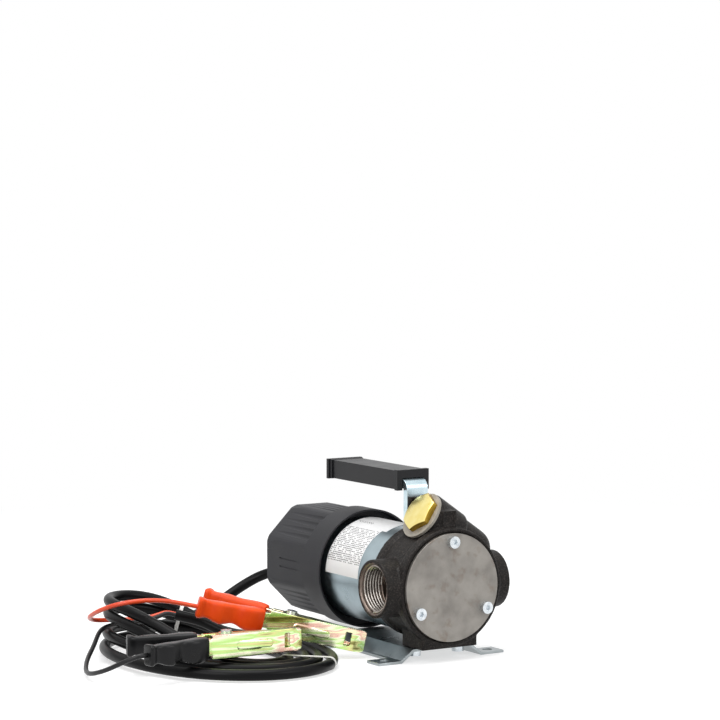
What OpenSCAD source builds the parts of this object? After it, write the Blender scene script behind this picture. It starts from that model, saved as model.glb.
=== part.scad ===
/* [Pump body] */
// Height of the pump axis above the floor
axis_h = 52.3; // [46:0.1:60]
// Depth of the casting from the cover face to the motor
body_depth = 44; // [40:0.5:56]
// Diameter of the casting between its rims
body_d = 77; // [76:0.5:84]
// Diameter of the rim round the front cover
rim_d = 83; // [82:0.5:90]
// Width of the front rim
rim_w = 8; // [5:0.5:12]
// Diameter of the flange that carries the motor
flange_d = 80; // [78:0.5:84]
// Width of the motor flange
flange_w = 7; // [5:0.5:10]
// Bore of the pump chamber
chamber_d = 50; // [44:0.5:52]
// Depth of the pump chamber
chamber_len = 25; // [20:0.5:25]
// Offset of the chamber above the shaft
chamber_lift = 3; // [2:0.1:4]
// Width of the cast foot
foot_w = 45.4; // [36:0.2:46]
// Length of the cast foot
foot_len = 27; // [20:0.5:30]

/* [Ports] */
// Distance from the pump axis to each port face
port_reach = 50.9; // [46:0.1:60]
// Diameter of the port bosses
port_boss_d = 41; // [38:0.5:44]
// Distance from the cover face back to the port axis
port_y = 23.2; // [21:0.1:25]
// Major diameter of the port thread
port_thread_d = 33.2; // [30:0.1:34]
// Depth of the port thread
port_thread_len = 18; // [14:0.5:20]

/* [Cover] */
// Diameter of the front cover
cover_d = 76; // [72:0.5:78]
// Thickness of the front cover
cover_t = 5; // [4:0.5:7]
// How far the cover stands out of the rim
cover_proud = 1.5; // [0.5:0.1:2.5]
// Radius of the circle of cover screws
cover_screw_r = 32; // [31:0.5:33]

/* [Bypass valve] */
// Slope of the valve barrel
valve_tilt = 34.8; // [30:0.2:40]
// Height of the barrel axis above the pump axis, over the shaft
valve_rise = 42.9; // [42:0.1:46]
// Outer diameter of the valve barrel
valve_barrel_d = 34; // [32:0.5:36]
// Bore of the valve
valve_bore_d = 18; // [16:0.5:19]
// Width of the brass cap across its flats
hex_af = 26; // [24:0.5:30]
// Height of the brass hexagon
hex_h = 4.7; // [4:0.1:7]

/* [Motor] */
// Outer diameter of the motor tube
tube_d = 75; // [74:0.5:78]
// Length of the motor tube
tube_len = 106; // [100:1:110]
// Wall of the motor tube
tube_wall = 3; // [2:0.1:3.4]
// Diameter of the shaft
shaft_d = 12; // [10:0.5:12]
// Diameter of the collar of the motor cap
collar_d = 87; // [84:0.5:92]
// Width of the rear of the motor cap across its flats
cap_af = 78.4; // [78:0.2:80]
// Distance from the cover face to the front of the motor cap
cap_front = 109.2; // [104:0.2:112]
// Length of the motor cap
cap_len = 86; // [84:0.5:92]

/* [Base plate] */
// Width of the raised top of the plate
base_top_w = 47.8; // [46.6:0.2:52]
// Height of the raised top above the floor
base_h = 9.4; // [8.4:0.1:12]
// Thickness of the plate
base_t = 2; // [1.5:0.1:2.5]
// Sideways run of each sloping web
web_run = 10; // [8:0.5:13]
// Overall width over the feet
base_w = 105; // [100:1:116]
// Length of each foot along the pump
tab_len = 15.5; // [14:0.5:18]
// Spacing of the mounting holes across the pump
hole_pitch_x = 87; // [84:0.5:92]
// Spacing of the mounting holes along the pump
hole_pitch_y = 78; // [72:1:80]
// Diameter of the mounting holes
hole_d = 7; // [5:0.5:8]
// Distance from the cover face back to the front holes
cover_to_holes = 20.8; // [18:0.2:24]

/* [Handle] */
// Width of the handle bar
bar_w = 17.5; // [14:0.5:18]
// Thickness of the handle bar
bar_t = 5; // [4:0.5:6]
// Height of the top of the grip above the pump axis
grip_top = 78.2; // [76:0.2:90]
// Length of the grip
grip_len = 95.7; // [85:0.5:110]
// Width of the grip
grip_w = 25; // [23:0.5:30]
// Height of the grip
grip_h = 14.6; // [13.6:0.2:17]

/* [Cable] */
// Diameter of the supply cable
cable_d = 7.8; // [6:0.1:7.8]
// Diameter of each lead
lead_d = 3.2; // [2.4:0.1:3.4]

/* [Clamps] */
// Width of the clamp jaws
clamp_w = 16; // [14:0.5:16.5]
// Length of the jaws from the pivot
jaw_len = 55; // [48:1:60]
// Length of the handles from the pivot
lever_len = 62; // [56:1:66]

/* [Hidden] */
$fn = 64;

// Overrun of every cut
cut = 1;
// Sliding clearance on a radius
slip = 0.05;
// Loose clearance on a radius
loose = 0.25;
// Gap between pieces that only lie side by side
rest_gap = 0.3;

// Cover seat and pump chamber, measured back from the cover face
gasket_t = 0.5;
chamber_front = cover_t + gasket_t;
chamber_back = chamber_front + chamber_len;
cover_fit = 0.4;
gasket_in_r = 28.5;
gasket_out_r = cover_d / 2 - gasket_t;
rotor_gap = 0.2;
rotor_r = chamber_d / 2 - chamber_lift - rotor_gap;
rotor_end_gap = 0.1;
rotor_len = chamber_len - 2 * rotor_end_gap;
vane_count = 5;
vane_t = 3;
vane_h = 9;
slot_depth = 13;

// Front screws
cover_screw_d = 5;
cover_screw_len = 15;
cover_head_d = 8.5;
cover_head_h = 3.2;
recess_d = 2.9;
lobe_d = 1.1;
recess_depth = 1.8;

// Ports
mouth_step = 0.8;
port_mouth_d = port_thread_d + 2 * mouth_step;
port_mouth_len = 1.5;
passage_d = 13;

// Bypass valve, measured along the barrel towards its cap
barrel_face = 10.7;
barrel_step = -16;
barrel_small_d = 30.6;
barrel_small_end = -35.5;
spot_h = 24;
washer_t = 2;
washer_d = 35;
washer_drop = 1.2;
stem_len = 6;
valve_seat = -9;
seat_d = 8;
seat_end = -45;
piston_len = 6;
bleed_s = -6;
bleed_d = 3;
spring_wire = 1;
spring_turns = 4;
pad_w = 11.5;
pad_h = 12;
pad_z = 47.3;
pad_front = 4.6;
pad_rim = 1.5;
pad_sunk = 0.6;
hex_chamfer = 1.4;
hex_turn = 4.2;

// Shaft, bearings and seal
seal_front = 32;
seal_w = 5;
seal_d = 22;
bearing_front = 37;
bearing_w = 8;
bearing_d = 28;
groove = 0.6;
small_shaft_d = 8;
small_bearing_d = 22;
small_bearing_w = 7;
shaft_gap = 0.2;
wall_hole_d = shaft_d + 2 * shaft_gap;

// Motor, measured back from the cover face
tube_front = body_depth;
tube_back = tube_front + tube_len;
tube_in_r = tube_d / 2 - tube_wall;
spigot_r = tube_in_r - slip;
spigot_in_r = 28;
spigot_len = 4;
shield_t = 5;
magnet_in_r = 28.8;
magnet_arc = 130;
magnet_over = 4;
core_r = 28.2;
core_front = 70;
core_slots = 12;
core_slot_w = 4;
core_slot_depth = 9;
winding_r = 24;
winding_len = 8;
comm_r = 12;
comm_len = 11;
holder_t = 3;
holder_y = tube_back - shield_t - holder_t;
brush_y = 7;
brush_seat = 0.7;
brush_z = 8;
brush_len = 13;
brush_wall = 1.5;
brush_mid = holder_y - brush_seat - brush_y / 2;
comm_front = brush_mid - comm_len / 2;
core_len = comm_front - rest_gap - winding_len - core_front;
magnet_front = core_front - magnet_over;
magnet_len = core_len + 2 * magnet_over;
brush_spring_r = 2.4;
brush_turns = 3;
brush_gap = 2;
box_len = 19;
bearing_set = 3.5;
rear_bearing_front = tube_back - bearing_set;
bearing_boss_d = 30;
post_r = 30;
post_d = 8;
bolt_d = 4;
bolt_head_d = 7;
bolt_head_h = 3.4;
bolt_tip = port_y + port_mouth_d / 2 + rest_gap;
bolt_r = 31.2;

// Motor cap
cap_back = cap_front + cap_len;
cap_wall = 3;
post_end = cap_back - cap_wall;
cap_fit = 0.2;
cap_bore_r = tube_d / 2 + cap_fit;
cap_round = 8;
collar_len = 24;
ramp_len = 8;
cone_step = 2;
collar_lip = 1.2;
collar_recess = 10;
flute_w = 4.6;
flute_pitch = 6.2;
flute_depth = 1.2;
flute_start = 28.5;
flute_len = 51;
flute_r = (flute_w * flute_w / 4 + flute_depth * flute_depth) / 2 / flute_depth;
flute_tilt = asin(flute_depth / flute_len);
line_w = 1;
line_start = 38;
line_len = 26;
screw_d = 4;
screw_head_d = 7.2;
screw_head_h = 2.4;
gland_x = -15;
gland_z = -13;
gland_d = 13;
gland_len = 9;
gland_flange = 2;
gland_taper = 1;
gland_lip = 0.8;
switch_x = 0;
switch_z = 13;
switch_w = 19;
switch_h = 13;
switch_deep = 16;
bezel = 1.4;
bezel_t = 1.8;
rocker_proud = 1.2;

// Base plate
base_len = hole_pitch_y + tab_len;
base_in_w = base_top_w + 2 * web_run;
base_screw_d = 5;
base_screw_x = 18;
base_screw_y = 20.5;
base_screw_len = 10;
base_head_h = 4;
foot_front = 3;

// Handle
bar_y = body_depth + 1;
bar_low = 39;
grip_cover = 6.2;
bar_top = grip_top - grip_cover;
bend_in = 3;
bar_reach = 62;
lug_w = 17.4;
lug_low = 30;
lug_top = 60;
lug_front = 37;
handle_screw_d = 6;
handle_screw_tip = port_y + washer_d / 2 + washer_drop + rest_gap;
handle_screw_z = [44.5, 54.5];
handle_head_d = 10;
handle_head_h = 3.6;
grip_gap = 0.8;
grip_front = bar_y + bar_t + grip_gap;
grip_flange = 4;
flange_step = 1;
flange_out = 0.8;
rear_flange_out = 2.1;
grip_flange_w = grip_w + 2 * flange_out;
rear_flange_w = grip_w + 2 * rear_flange_out;
rear_flange_t = 6;
grip_inset = 0.6;
grip_mouth = 5.4;

// Label on the motor tube
label_t = 0.2;
label_low_turn = 1;
strip_low_turn = 63;
label_high_turn = 99;
label_front = 65;
strip_front = 59.5;

// Cable coil, a spiral that winds in and stacks up on its raised side
coil_x = -131;
coil_y = 36;
coil_rx = 68;
coil_ry = 92;
coil_lean = 16;
coil_start = 100;
coil_turns = 3.66;
coil_pitch = 9;
coil_bulge = 12;
bulge_side = 215;
raised_side = 115;
raised_sharpness = 3.4;
coil_lift = 1;
lead_room = 4.6;
coil_tuck = 4;
tie_t = 0.5;
tie_w = 2.6;
coil_floor = cable_d / 2 + rest_gap + tie_t + slip;
rings_per_loop = 24;
// Place of each tie in turns, and its slack round the cable
tie_places = [[0.894, 0.6], [0.52, rest_gap]];

// Clamps
sheet_t = 1.4;
near_y = 10.5;
tip_y = 2.2;
tip_x = jaw_len;
jaw_nose = 8;
nose_rise = 3.5;
jaw_flange_h = 5;
tooth_pitch = 3;
tooth_h = 1.2;
tooth_count = 5;
throat_run = 20;
jaw_slot = 4;
jaw_slot_in = 12.5;
jaw_slot_share = 0.6;
lever_bend = 14;
lever_out = 22;
lever_angle = atan2(lever_out - near_y, lever_len - lever_bend);
lever_long = (lever_len - lever_bend) / cos(lever_angle);
ear_r = 6;
pin_d = 5;
pin_head = 1.2;
nest_gap = 0.4;
nest = sheet_t + nest_gap;
lever_inset = 2.5;
lever_w = clamp_w - 2 * lever_inset;
sleeve_wall = 1.6;
sleeve_fit = 0.2;
sleeve_end = lever_long + sleeve_wall + sleeve_fit;
// Outline of a sleeve, as shares of its length and of its wall
sleeve_shares = [[1, 1.9], [0.9, 1.9], [0.85, 1.1], [0.6, 2.1], [0.45, 1.1], [0.25, 2.2], [0.12, 1.3], [0.08, 1.1]];
clamp_wire = 1.2;
clamp_coil_r = 4.6;
clamp_curls = 3;
// Place, turn and dip of each clamp
black_at = [-156, -17, 21.1];
black_turn = [0, 0, -7];
red_at = [-86.6, 17, 23.9];
red_turn = [0, 13, -35.7];

// Route of the cable from the gland to the coil
supply_route = [
    [-17, 160, 37.5], [-25, 170, 33], [-38, 176, 25], [-54, 177, 16], [-74, 172, 9], [-100, 163, 6], [-126, 150, 5.5]
];
// Route of the cable from the coil to its stripped end
tail_route = [[-99, 45, 6], [-105, 59, 9], [-113, 72, 14], [-122, 82, 19.5]];
tail_end = [-139, 90, 24.5];
// Route of the red lead
red_route = [
    [-158, 98, 22.5], [-170, 103, 21.9], [-182, 108, 21.8], [-193, 109, 22.5], [-202, 100, 26],
    [-208, 84, 31], [-209, 67, 37], [-203, 54, 42], [-189, 46, 44.5], [-172, 43, 43.5]
];
// Route of the black lead
black_route = [
    [-160, 90, 22.5], [-175, 89, 21.8], [-190, 87, 22], [-203, 80, 20.3], [-217, 63, 13],
    [-230, 46, 7], [-240, 27, 4], [-245, 9, 5], [-243, -9, 10], [-236, -23, 17]
];

// Moves a piece of the pump to its place on the base
module on_pump() {
    translate([0, -hole_pitch_y / 2 - cover_to_holes, axis_h]) children();
}

// Turns a piece that stands on Z to run back along the pump
module along(y = 0, x = 0, z = 0) {
    translate([x, y, z]) rotate([-90, 0, 0]) children();
}

// A disc or a rod that runs back along the pump
module rod(r, y0, y1, x = 0, z = 0) {
    along(y0, x, z) cylinder(r = r, h = y1 - y0);
}

// A ring that runs back along the pump
module ring(r_out, r_in, y0, y1, x = 0, z = 0) {
    difference() {
        rod(r_out, y0, y1, x, z);
        rod(r_in, y0 - cut, y1 + cut, x, z);
    }
}

// Places a piece on the valve barrel, with Z towards the brass cap
module on_valve(s = 0) {
    translate([0, port_y, valve_rise]) rotate([0, valve_tilt - 90, 0]) translate([0, 0, s]) children();
}

// Unit vector
function unit(v) = v / norm(v);

// Point on a smooth curve through the middle two of four points
function spline_at(a, b, c, d, u) =
    0.5 * (2 * b + (c - a) * u + (2 * a - 5 * b + 4 * c - d) * u * u + (3 * b - 3 * c + d - a) * u * u * u);

// Smooth path through a route, with so many steps between its points
function smooth(p, steps = 2) = let (n = len(p)) concat(
    [for (i = [0 : n - 2]) for (k = [0 : steps - 1])
        spline_at(p[max(i - 1, 0)], p[i], p[i + 1], p[min(i + 2, n - 1)], k / steps)],
    [p[n - 1]]
);

// Smooth path through a route, with a straight run at each end
function routed(from, out, route, into, to, run) = concat(
    [from], smooth(concat([from + out * run], route, [to - into * run])), [to]
);

// Direction of a path at one of its points
function heading(p, i) = unit(p[min(i + 1, len(p) - 1)] - p[max(i - 1, 0)]);

// Corners of the ring at one point of a path
function ring_at(p, i, r, sides, ref) =
    let (t = heading(p, i), a = unit(cross(t, ref)), b = cross(a, t))
    [for (k = [0 : sides - 1]) p[i] + r * (cos(360 * (k + 0.5) / sides) * a + sin(360 * (k + 0.5) / sides) * b)];

// A round tube along a path
module tube(p, d, sides = 8, ref = [0, 0, 1]) {
    n = len(p);
    points = [for (i = [0 : n - 1]) each ring_at(p, i, d / 2, sides, ref)];
    walls = [for (i = [0 : n - 2]) for (k = [0 : sides - 1]) let (
        a = i * sides + k, b = i * sides + (k + 1) % sides, c = a + sides, e = b + sides
    ) each [[a, b, e], [a, e, c]]];
    front = [[for (k = [0 : sides - 1]) sides - 1 - k]];
    back = [[for (k = [0 : sides - 1]) (n - 1) * sides + k]];
    polyhedron(points = points, faces = concat(front, walls, back), convexity = 10);
}

// Path of a coil spring on Z, from its foot up, with straight ends
function helix(r, h, turns, wire, rings = 8) = let (n = turns * rings) concat(
    [[r, -wire, 0]],
    [for (i = [0 : n]) [r * cos(360 * i / rings), r * sin(360 * i / rings), h * i / n]],
    [[r * cos(360 * n / rings) - wire * sin(360 * n / rings),
      r * sin(360 * n / rings) + wire * cos(360 * n / rings), h]]
);

// Cast iron body with its ports, foot, valve barrel and handle lug
module pump_body() {
    color([0.16, 0.16, 0.17]) on_pump() difference() {
        union() {
            rod(rim_d / 2, cover_proud, cover_proud + rim_w);
            rod(body_d / 2, cover_proud, body_depth - slip);
            rod(flange_d / 2, body_depth - flange_w, body_depth);
            ring(spigot_r, spigot_in_r, body_depth - cut, body_depth + spigot_len);
            translate([-port_reach, port_y, 0]) rotate([0, 90, 0])
                cylinder(r = port_boss_d / 2, h = 2 * port_reach);
            translate([-foot_w / 2, foot_front, base_h - axis_h])
                cube([foot_w, foot_len, axis_h - base_h]);
            on_valve(barrel_step) cylinder(r = valve_barrel_d / 2, h = barrel_face - barrel_step);
            on_valve(barrel_small_end) cylinder(r = barrel_small_d / 2, h = barrel_face - barrel_small_end - cut);
            on_valve(barrel_small_end) sphere(r = barrel_small_d / 2);
            translate([-lug_w / 2, lug_front, lug_low])
                cube([lug_w, body_depth - lug_front, lug_top - lug_low]);
            translate([-lug_w / 2, lug_front, tube_d / 2 + rest_gap])
                cube([lug_w, bar_y - lug_front, lug_top - tube_d / 2 - rest_gap]);
            translate([-pad_w / 2, pad_front, pad_z - pad_h / 2]) cube([pad_w, port_y - pad_front, pad_h]);
        }
        rod(cover_d / 2 + cover_fit, cover_proud - cut, chamber_front);
        rod(chamber_d / 2, chamber_front - cut, chamber_back, z = chamber_lift);
        rod(wall_hole_d / 2, chamber_back - cut, seal_front + cut);
        rod(seal_d / 2, seal_front, bearing_front + cut);
        rod(bearing_d / 2, bearing_front, body_depth + spigot_len + cut);
        for (side = [-1, 1]) {
            translate([side * (port_reach - port_thread_len), port_y, 0]) rotate([0, side * 90, 0])
                cylinder(r = port_thread_d / 2, h = port_thread_len + cut);
            translate([side * (port_reach - port_mouth_len), port_y, 0]) rotate([0, side * 90, 0])
                cylinder(r = port_mouth_d / 2, h = port_mouth_len + cut);
            translate([side * chamber_d / 4, port_y, 0]) rotate([0, side * 90, 0])
                cylinder(r = passage_d / 2, h = port_reach - port_thread_len - chamber_d / 4 + cut);
            rod(bolt_d / 2, bolt_tip, body_depth + spigot_len + cut, x = side * bolt_r);
            translate([side * base_screw_x, base_screw_y, base_h - axis_h - cut])
                cylinder(r = base_screw_d / 2, h = base_screw_len - base_t + cut);
        }
        for (a = [90, 210, 330])
            rod(cover_screw_d / 2, chamber_front - cut, cover_screw_len + cut,
                x = cover_screw_r * cos(a), z = cover_screw_r * sin(a));
        on_valve(valve_seat) cylinder(r = valve_bore_d / 2, h = barrel_face - valve_seat + cut);
        on_valve(seat_end) cylinder(r = seat_d / 2, h = valve_seat - seat_end + cut);
        translate([-bleed_s * cos(valve_tilt) - valve_bore_d / 2 * sin(valve_tilt), port_y, chamber_d / 2])
            cylinder(r = bleed_d / 2, h = valve_rise - valve_bore_d / 4 - chamber_d / 2);
        on_valve(barrel_face) cylinder(r = washer_d / 2 + washer_drop + loose, h = spot_h);
        translate([-pad_w / 2 + pad_rim, pad_front - cut, pad_z - pad_h / 2 + pad_rim])
            cube([pad_w - 2 * pad_rim, pad_sunk + cut, pad_h - 2 * pad_rim]);
        for (z = handle_screw_z)
            rod(handle_screw_d / 2, handle_screw_tip - slip, bar_y + cut, z = z);
    }
}

// Ground steel cover plate
module front_cover() {
    color([0.5, 0.47, 0.45]) on_pump() difference() {
        rod(cover_d / 2, 0, cover_t);
        for (a = [90, 210, 330])
            rod(cover_screw_d / 2 + loose, -cut, cover_t + cut,
                x = cover_screw_r * cos(a), z = cover_screw_r * sin(a));
    }
}

// Flat gasket behind the cover
module cover_gasket() {
    color([0.35, 0.3, 0.24]) on_pump() difference() {
        ring(gasket_out_r, gasket_in_r, cover_t, chamber_front);
        for (a = [90, 210, 330])
            rod(cover_screw_d / 2 + loose, cover_t - cut, chamber_front + cut,
                x = cover_screw_r * cos(a), z = cover_screw_r * sin(a));
    }
}

// One six-lobed cap screw, with its head in front
module cover_screw() {
    difference() {
        union() {
            rod(cover_head_d / 2, -cover_head_h, 0);
            rod(cover_screw_d / 2, -slip, cover_screw_len);
        }
        rod(recess_d / 2, -cover_head_h - cut, recess_depth - cover_head_h);
        for (a = [0 : 60 : 300])
            rod(lobe_d / 2, -cover_head_h - cut, recess_depth - cover_head_h,
                x = recess_d / 2 * cos(a), z = recess_d / 2 * sin(a));
    }
}

// Three zinc screws that hold the cover
module cover_screws() {
    color([0.8, 0.82, 0.84]) on_pump() for (a = [90, 210, 330])
        translate([cover_screw_r * cos(a), 0, cover_screw_r * sin(a)]) cover_screw();
}

// Slotted rotor on the shaft
module vane_rotor() {
    color([0.55, 0.56, 0.58]) on_pump() difference() {
        rod(rotor_r, chamber_front + rotor_end_gap, chamber_front + rotor_end_gap + rotor_len);
        rod(shaft_d / 2, chamber_front - cut, chamber_back + cut);
        for (i = [0 : vane_count - 1]) rotate([0, -90 - i * 360 / vane_count, 0])
            translate([rotor_r - slot_depth, chamber_front - cut, -vane_t / 2 - slip])
                cube([slot_depth + cut, chamber_len + 2 * cut, vane_t + 2 * slip]);
    }
}

// One sliding vane, with its tip level with the rotor
module vane(i) {
    color([0.25, 0.24, 0.22]) on_pump() rotate([0, -90 - i * 360 / vane_count, 0])
        translate([rotor_r - vane_h, chamber_front + rotor_end_gap, -vane_t / 2])
            cube([vane_h, rotor_len, vane_t]);
}

// Shaft from the rotor to the rear bearing
module motor_shaft() {
    color([0.72, 0.73, 0.75]) on_pump() {
        rod(shaft_d / 2, chamber_front + rotor_end_gap, rear_bearing_front - rest_gap);
        rod(small_shaft_d / 2 - slip, rear_bearing_front - rest_gap, rear_bearing_front + small_bearing_w);
    }
}

// Lip seal between the pump and the motor
module shaft_seal() {
    color([0.12, 0.12, 0.12]) on_pump() ring(seal_d / 2, shaft_d / 2 + slip, seal_front, seal_front + seal_w);
}

// Ball bearing with a groove in each face
module bearing(r_out, r_in, y0, w) {
    mid = (r_out + r_in) / 2;
    half = (r_out - r_in) / 4;
    difference() {
        ring(r_out, r_in, y0, y0 + w);
        ring(mid + half, mid - half, y0 - cut, y0 + groove);
        ring(mid + half, mid - half, y0 + w - groove, y0 + w + cut);
    }
}

// Bearing in the pump body
module front_bearing() {
    color([0.75, 0.76, 0.78]) on_pump()
        bearing(bearing_d / 2, shaft_d / 2 + slip, bearing_front, bearing_w);
}

// Bearing in the rear shield
module rear_bearing() {
    color([0.75, 0.76, 0.78]) on_pump()
        bearing(small_bearing_d / 2, small_shaft_d / 2, rear_bearing_front, small_bearing_w);
}

// Galvanised tube of the motor
module motor_tube() {
    color([0.72, 0.76, 0.78]) on_pump() ring(tube_d / 2, tube_in_r, tube_front, tube_back);
}

// Two arc magnets in the tube
module field_magnets() {
    color([0.2, 0.2, 0.21]) on_pump() for (up = [90, 270])
        along(magnet_front) rotate([0, 0, up - magnet_arc / 2]) rotate_extrude(angle = magnet_arc)
            translate([magnet_in_r, 0]) square([tube_in_r - magnet_in_r, magnet_len]);
}

// Laminated core with its slots
module armature_core() {
    color([0.5, 0.5, 0.52]) on_pump() along(core_front) linear_extrude(core_len) difference() {
        circle(r = core_r);
        circle(r = shaft_d / 2);
        for (i = [0 : core_slots - 1]) rotate(i * 360 / core_slots)
            translate([core_r - core_slot_depth, -core_slot_w / 2])
                square([core_slot_depth + cut, core_slot_w]);
    }
}

// Copper end turns and the wires in the slots
module armature_windings() {
    color([0.72, 0.4, 0.18]) on_pump() {
        for (y = [core_front - winding_len, core_front + core_len])
            ring(winding_r, comm_r + rest_gap, y, y + winding_len);
        for (i = [0 : core_slots - 1]) rotate([0, -i * 360 / core_slots, 0])
            translate([core_r - core_slot_depth + slip, core_front - slip, -core_slot_w / 2 + slip])
                cube([winding_r - core_r + core_slot_depth - 2 * slip, core_len + 2 * slip, core_slot_w - 2 * slip]);
    }
}

// Commutator on the shaft
module commutator() {
    color([0.75, 0.45, 0.25]) on_pump() ring(comm_r, shaft_d / 2, comm_front, comm_front + comm_len);
}

// Plastic plate with a box for each brush
module brush_holder() {
    box_in = comm_r + brush_gap;
    color([0.3, 0.24, 0.18]) on_pump() difference() {
        union() {
            ring(spigot_r, box_in, holder_y, holder_y + holder_t);
            for (side = [-1, 1])
                translate([-brush_z / 2 - brush_wall, brush_mid - brush_y / 2 - brush_wall,
                           side > 0 ? box_in : -box_in - box_len])
                    cube([brush_z + 2 * brush_wall, holder_y - brush_mid + brush_y / 2 + brush_wall + slip, box_len]);
        }
        for (side = [-1, 1]) {
            translate([-brush_z / 2 - slip, brush_mid - brush_y / 2 - slip,
                       side > 0 ? box_in - cut : -box_in - box_len + brush_wall])
                cube([brush_z + 2 * slip, brush_y + 2 * slip, box_len - brush_wall + cut]);
            rod(bolt_d / 2 + loose, holder_y - cut, holder_y + holder_t + cut, x = side * bolt_r);
        }
    }
}

// Two carbon brushes on the commutator
module carbon_brushes() {
    color([0.1, 0.1, 0.1]) on_pump() for (side = [-1, 1])
        translate([-brush_z / 2, brush_mid - brush_y / 2,
                   side > 0 ? comm_r + slip : -comm_r - slip - brush_len])
            cube([brush_z, brush_y, brush_len]);
}

// Springs behind the brushes
module brush_springs() {
    gap_low = comm_r + slip + brush_len + spring_wire / 2 + slip;
    gap_high = comm_r + brush_gap + box_len - brush_wall - spring_wire / 2 - slip;
    color([0.75, 0.76, 0.78]) on_pump() for (side = [-1, 1])
        translate([0, brush_mid, side > 0 ? gap_low : -gap_high])
            tube(helix(brush_spring_r, gap_high - gap_low, brush_turns, spring_wire), spring_wire, 6);
}

// Rear end shield with the bearing boss and the cap posts
module rear_shield() {
    color([0.66, 0.67, 0.69]) on_pump() difference() {
        union() {
            rod(tube_d / 2, tube_back, tube_back + shield_t);
            ring(spigot_r, spigot_in_r, tube_back - spigot_len, tube_back + cut);
            rod(bearing_boss_d / 2, rear_bearing_front, tube_back + shield_t);
            for (side = [-1, 1])
                rod(post_d / 2, tube_back, post_end,
                    x = side * post_r * cos(45), z = -side * post_r * sin(45));
        }
        rod(small_bearing_d / 2, rear_bearing_front - cut, rear_bearing_front + small_bearing_w);
        for (side = [-1, 1]) {
            rod(bolt_d / 2 + loose, tube_back - spigot_len - cut, tube_back + shield_t + cut, x = side * bolt_r);
            rod(screw_d / 2, tube_back + shield_t, post_end + cut,
                x = side * post_r * cos(45), z = -side * post_r * sin(45));
        }
    }
}

// Two long bolts from the rear shield into the body
module tie_bolts() {
    color([0.75, 0.76, 0.78]) on_pump() for (side = [-1, 1]) {
        rod(bolt_d / 2, bolt_tip, tube_back + shield_t + slip, x = side * bolt_r);
        rod(bolt_head_d / 2, tube_back + shield_t, tube_back + shield_t + bolt_head_h, x = side * bolt_r);
    }
}

// Outline of the rear of the cap, a rounded octagon
module cap_octagon(af, round_r) {
    flat = af / 2 - round_r;
    hull() for (i = [0 : 7]) rotate(22.5 + 45 * i)
        translate([flat / cos(22.5), 0]) circle(r = round_r, $fn = 32);
}

// Row of scooped flutes on one face, deepest at the collar
module flute_row(count) {
    for (k = [0 : count - 1]) translate([(k - (count - 1) / 2) * flute_pitch, 0, flute_r - flute_depth])
        rotate([flute_tilt - 90, 0, 0]) cylinder(r = flute_r, h = flute_len, $fn = 32);
}

// Moulded cap over the rear of the motor
module motor_cap() {
    body_back = cap_back - cap_wall;
    ramp_y = cap_front + collar_len;
    color([0.2, 0.2, 0.22]) on_pump() difference() {
        union() {
            along(cap_front) cylinder(r = collar_d / 2, h = collar_len);
            along(ramp_y) intersection() {
                cylinder(r1 = collar_d / 2, r2 = cap_af / 2 + cone_step, h = cap_back - ramp_y);
                union() {
                    rotate_extrude() polygon([
                        [0, 0], [collar_d / 2, 0], [cap_af / 2 - ramp_len / 4, ramp_len], [0, ramp_len]
                    ]);
                    linear_extrude(cap_back - ramp_y - cap_wall) cap_octagon(cap_af, cap_round);
                    translate([0, 0, cap_back - ramp_y - cap_wall]) hull() {
                        linear_extrude(slip) cap_octagon(cap_af, cap_round);
                        linear_extrude(cap_wall) cap_octagon(cap_af - 2 * cap_wall, cap_round - cap_wall);
                    }
                }
            }
        }
        rod(cap_bore_r, cap_front - cut, tube_back + shield_t + bolt_head_h + cap_wall);
        rod(collar_d / 2 - collar_lip, cap_front - cut, cap_front + collar_recess);
        along(cap_front + collar_len) linear_extrude(body_back - cap_front - collar_len)
            cap_octagon(cap_af - 2 * cap_wall - 2 * flute_depth, cap_round);
        rod(gland_d / 2 - gland_flange, body_back - cut, cap_back + cut, x = gland_x, z = gland_z);
        translate([switch_x - switch_w / 2, body_back - cut, switch_z - switch_h / 2])
            cube([switch_w, cap_wall + 2 * cut, switch_h]);
        for (side = [-1, 1])
            rod(screw_d / 2 + loose, body_back - cut, cap_back + cut,
                x = side * post_r * cos(45), z = -side * post_r * sin(45));
        for (i = [0, 1, 3, 4, 5, 7]) rotate([0, 45 * i, 0])
            translate([0, cap_front + flute_start, cap_af / 2]) flute_row(4);
        for (i = [2, 6], k = [-1, 1]) rotate([0, 45 * i, 0])
            translate([k * flute_pitch / 2 - line_w / 2, cap_front + line_start, cap_af / 2 - line_w / 2])
                cube([line_w, line_len, line_w]);
    }
}

// Two screws through the rear of the cap
module cap_screws() {
    color([0.75, 0.76, 0.78]) on_pump() for (side = [-1, 1])
        translate([side * post_r * cos(45), 0, -side * post_r * sin(45)]) {
            rod(screw_d / 2, cap_back - 3 * cap_wall, cap_back + slip);
            rod(screw_head_d / 2, cap_back, cap_back + screw_head_h);
        }
}

// Rubber gland that the cable comes out of
module cable_gland() {
    color([0.1, 0.1, 0.11]) on_pump() {
        rod(gland_d / 2 - gland_flange, cap_back - cap_wall - gland_flange, cap_back, x = gland_x, z = gland_z);
        rod(gland_d / 2, cap_back, cap_back + gland_flange, x = gland_x, z = gland_z);
        along(cap_back + gland_flange, gland_x, gland_z)
            cylinder(r1 = gland_d / 2 - gland_taper, r2 = cable_d / 2 + gland_lip, h = gland_len - gland_flange);
    }
}

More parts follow.
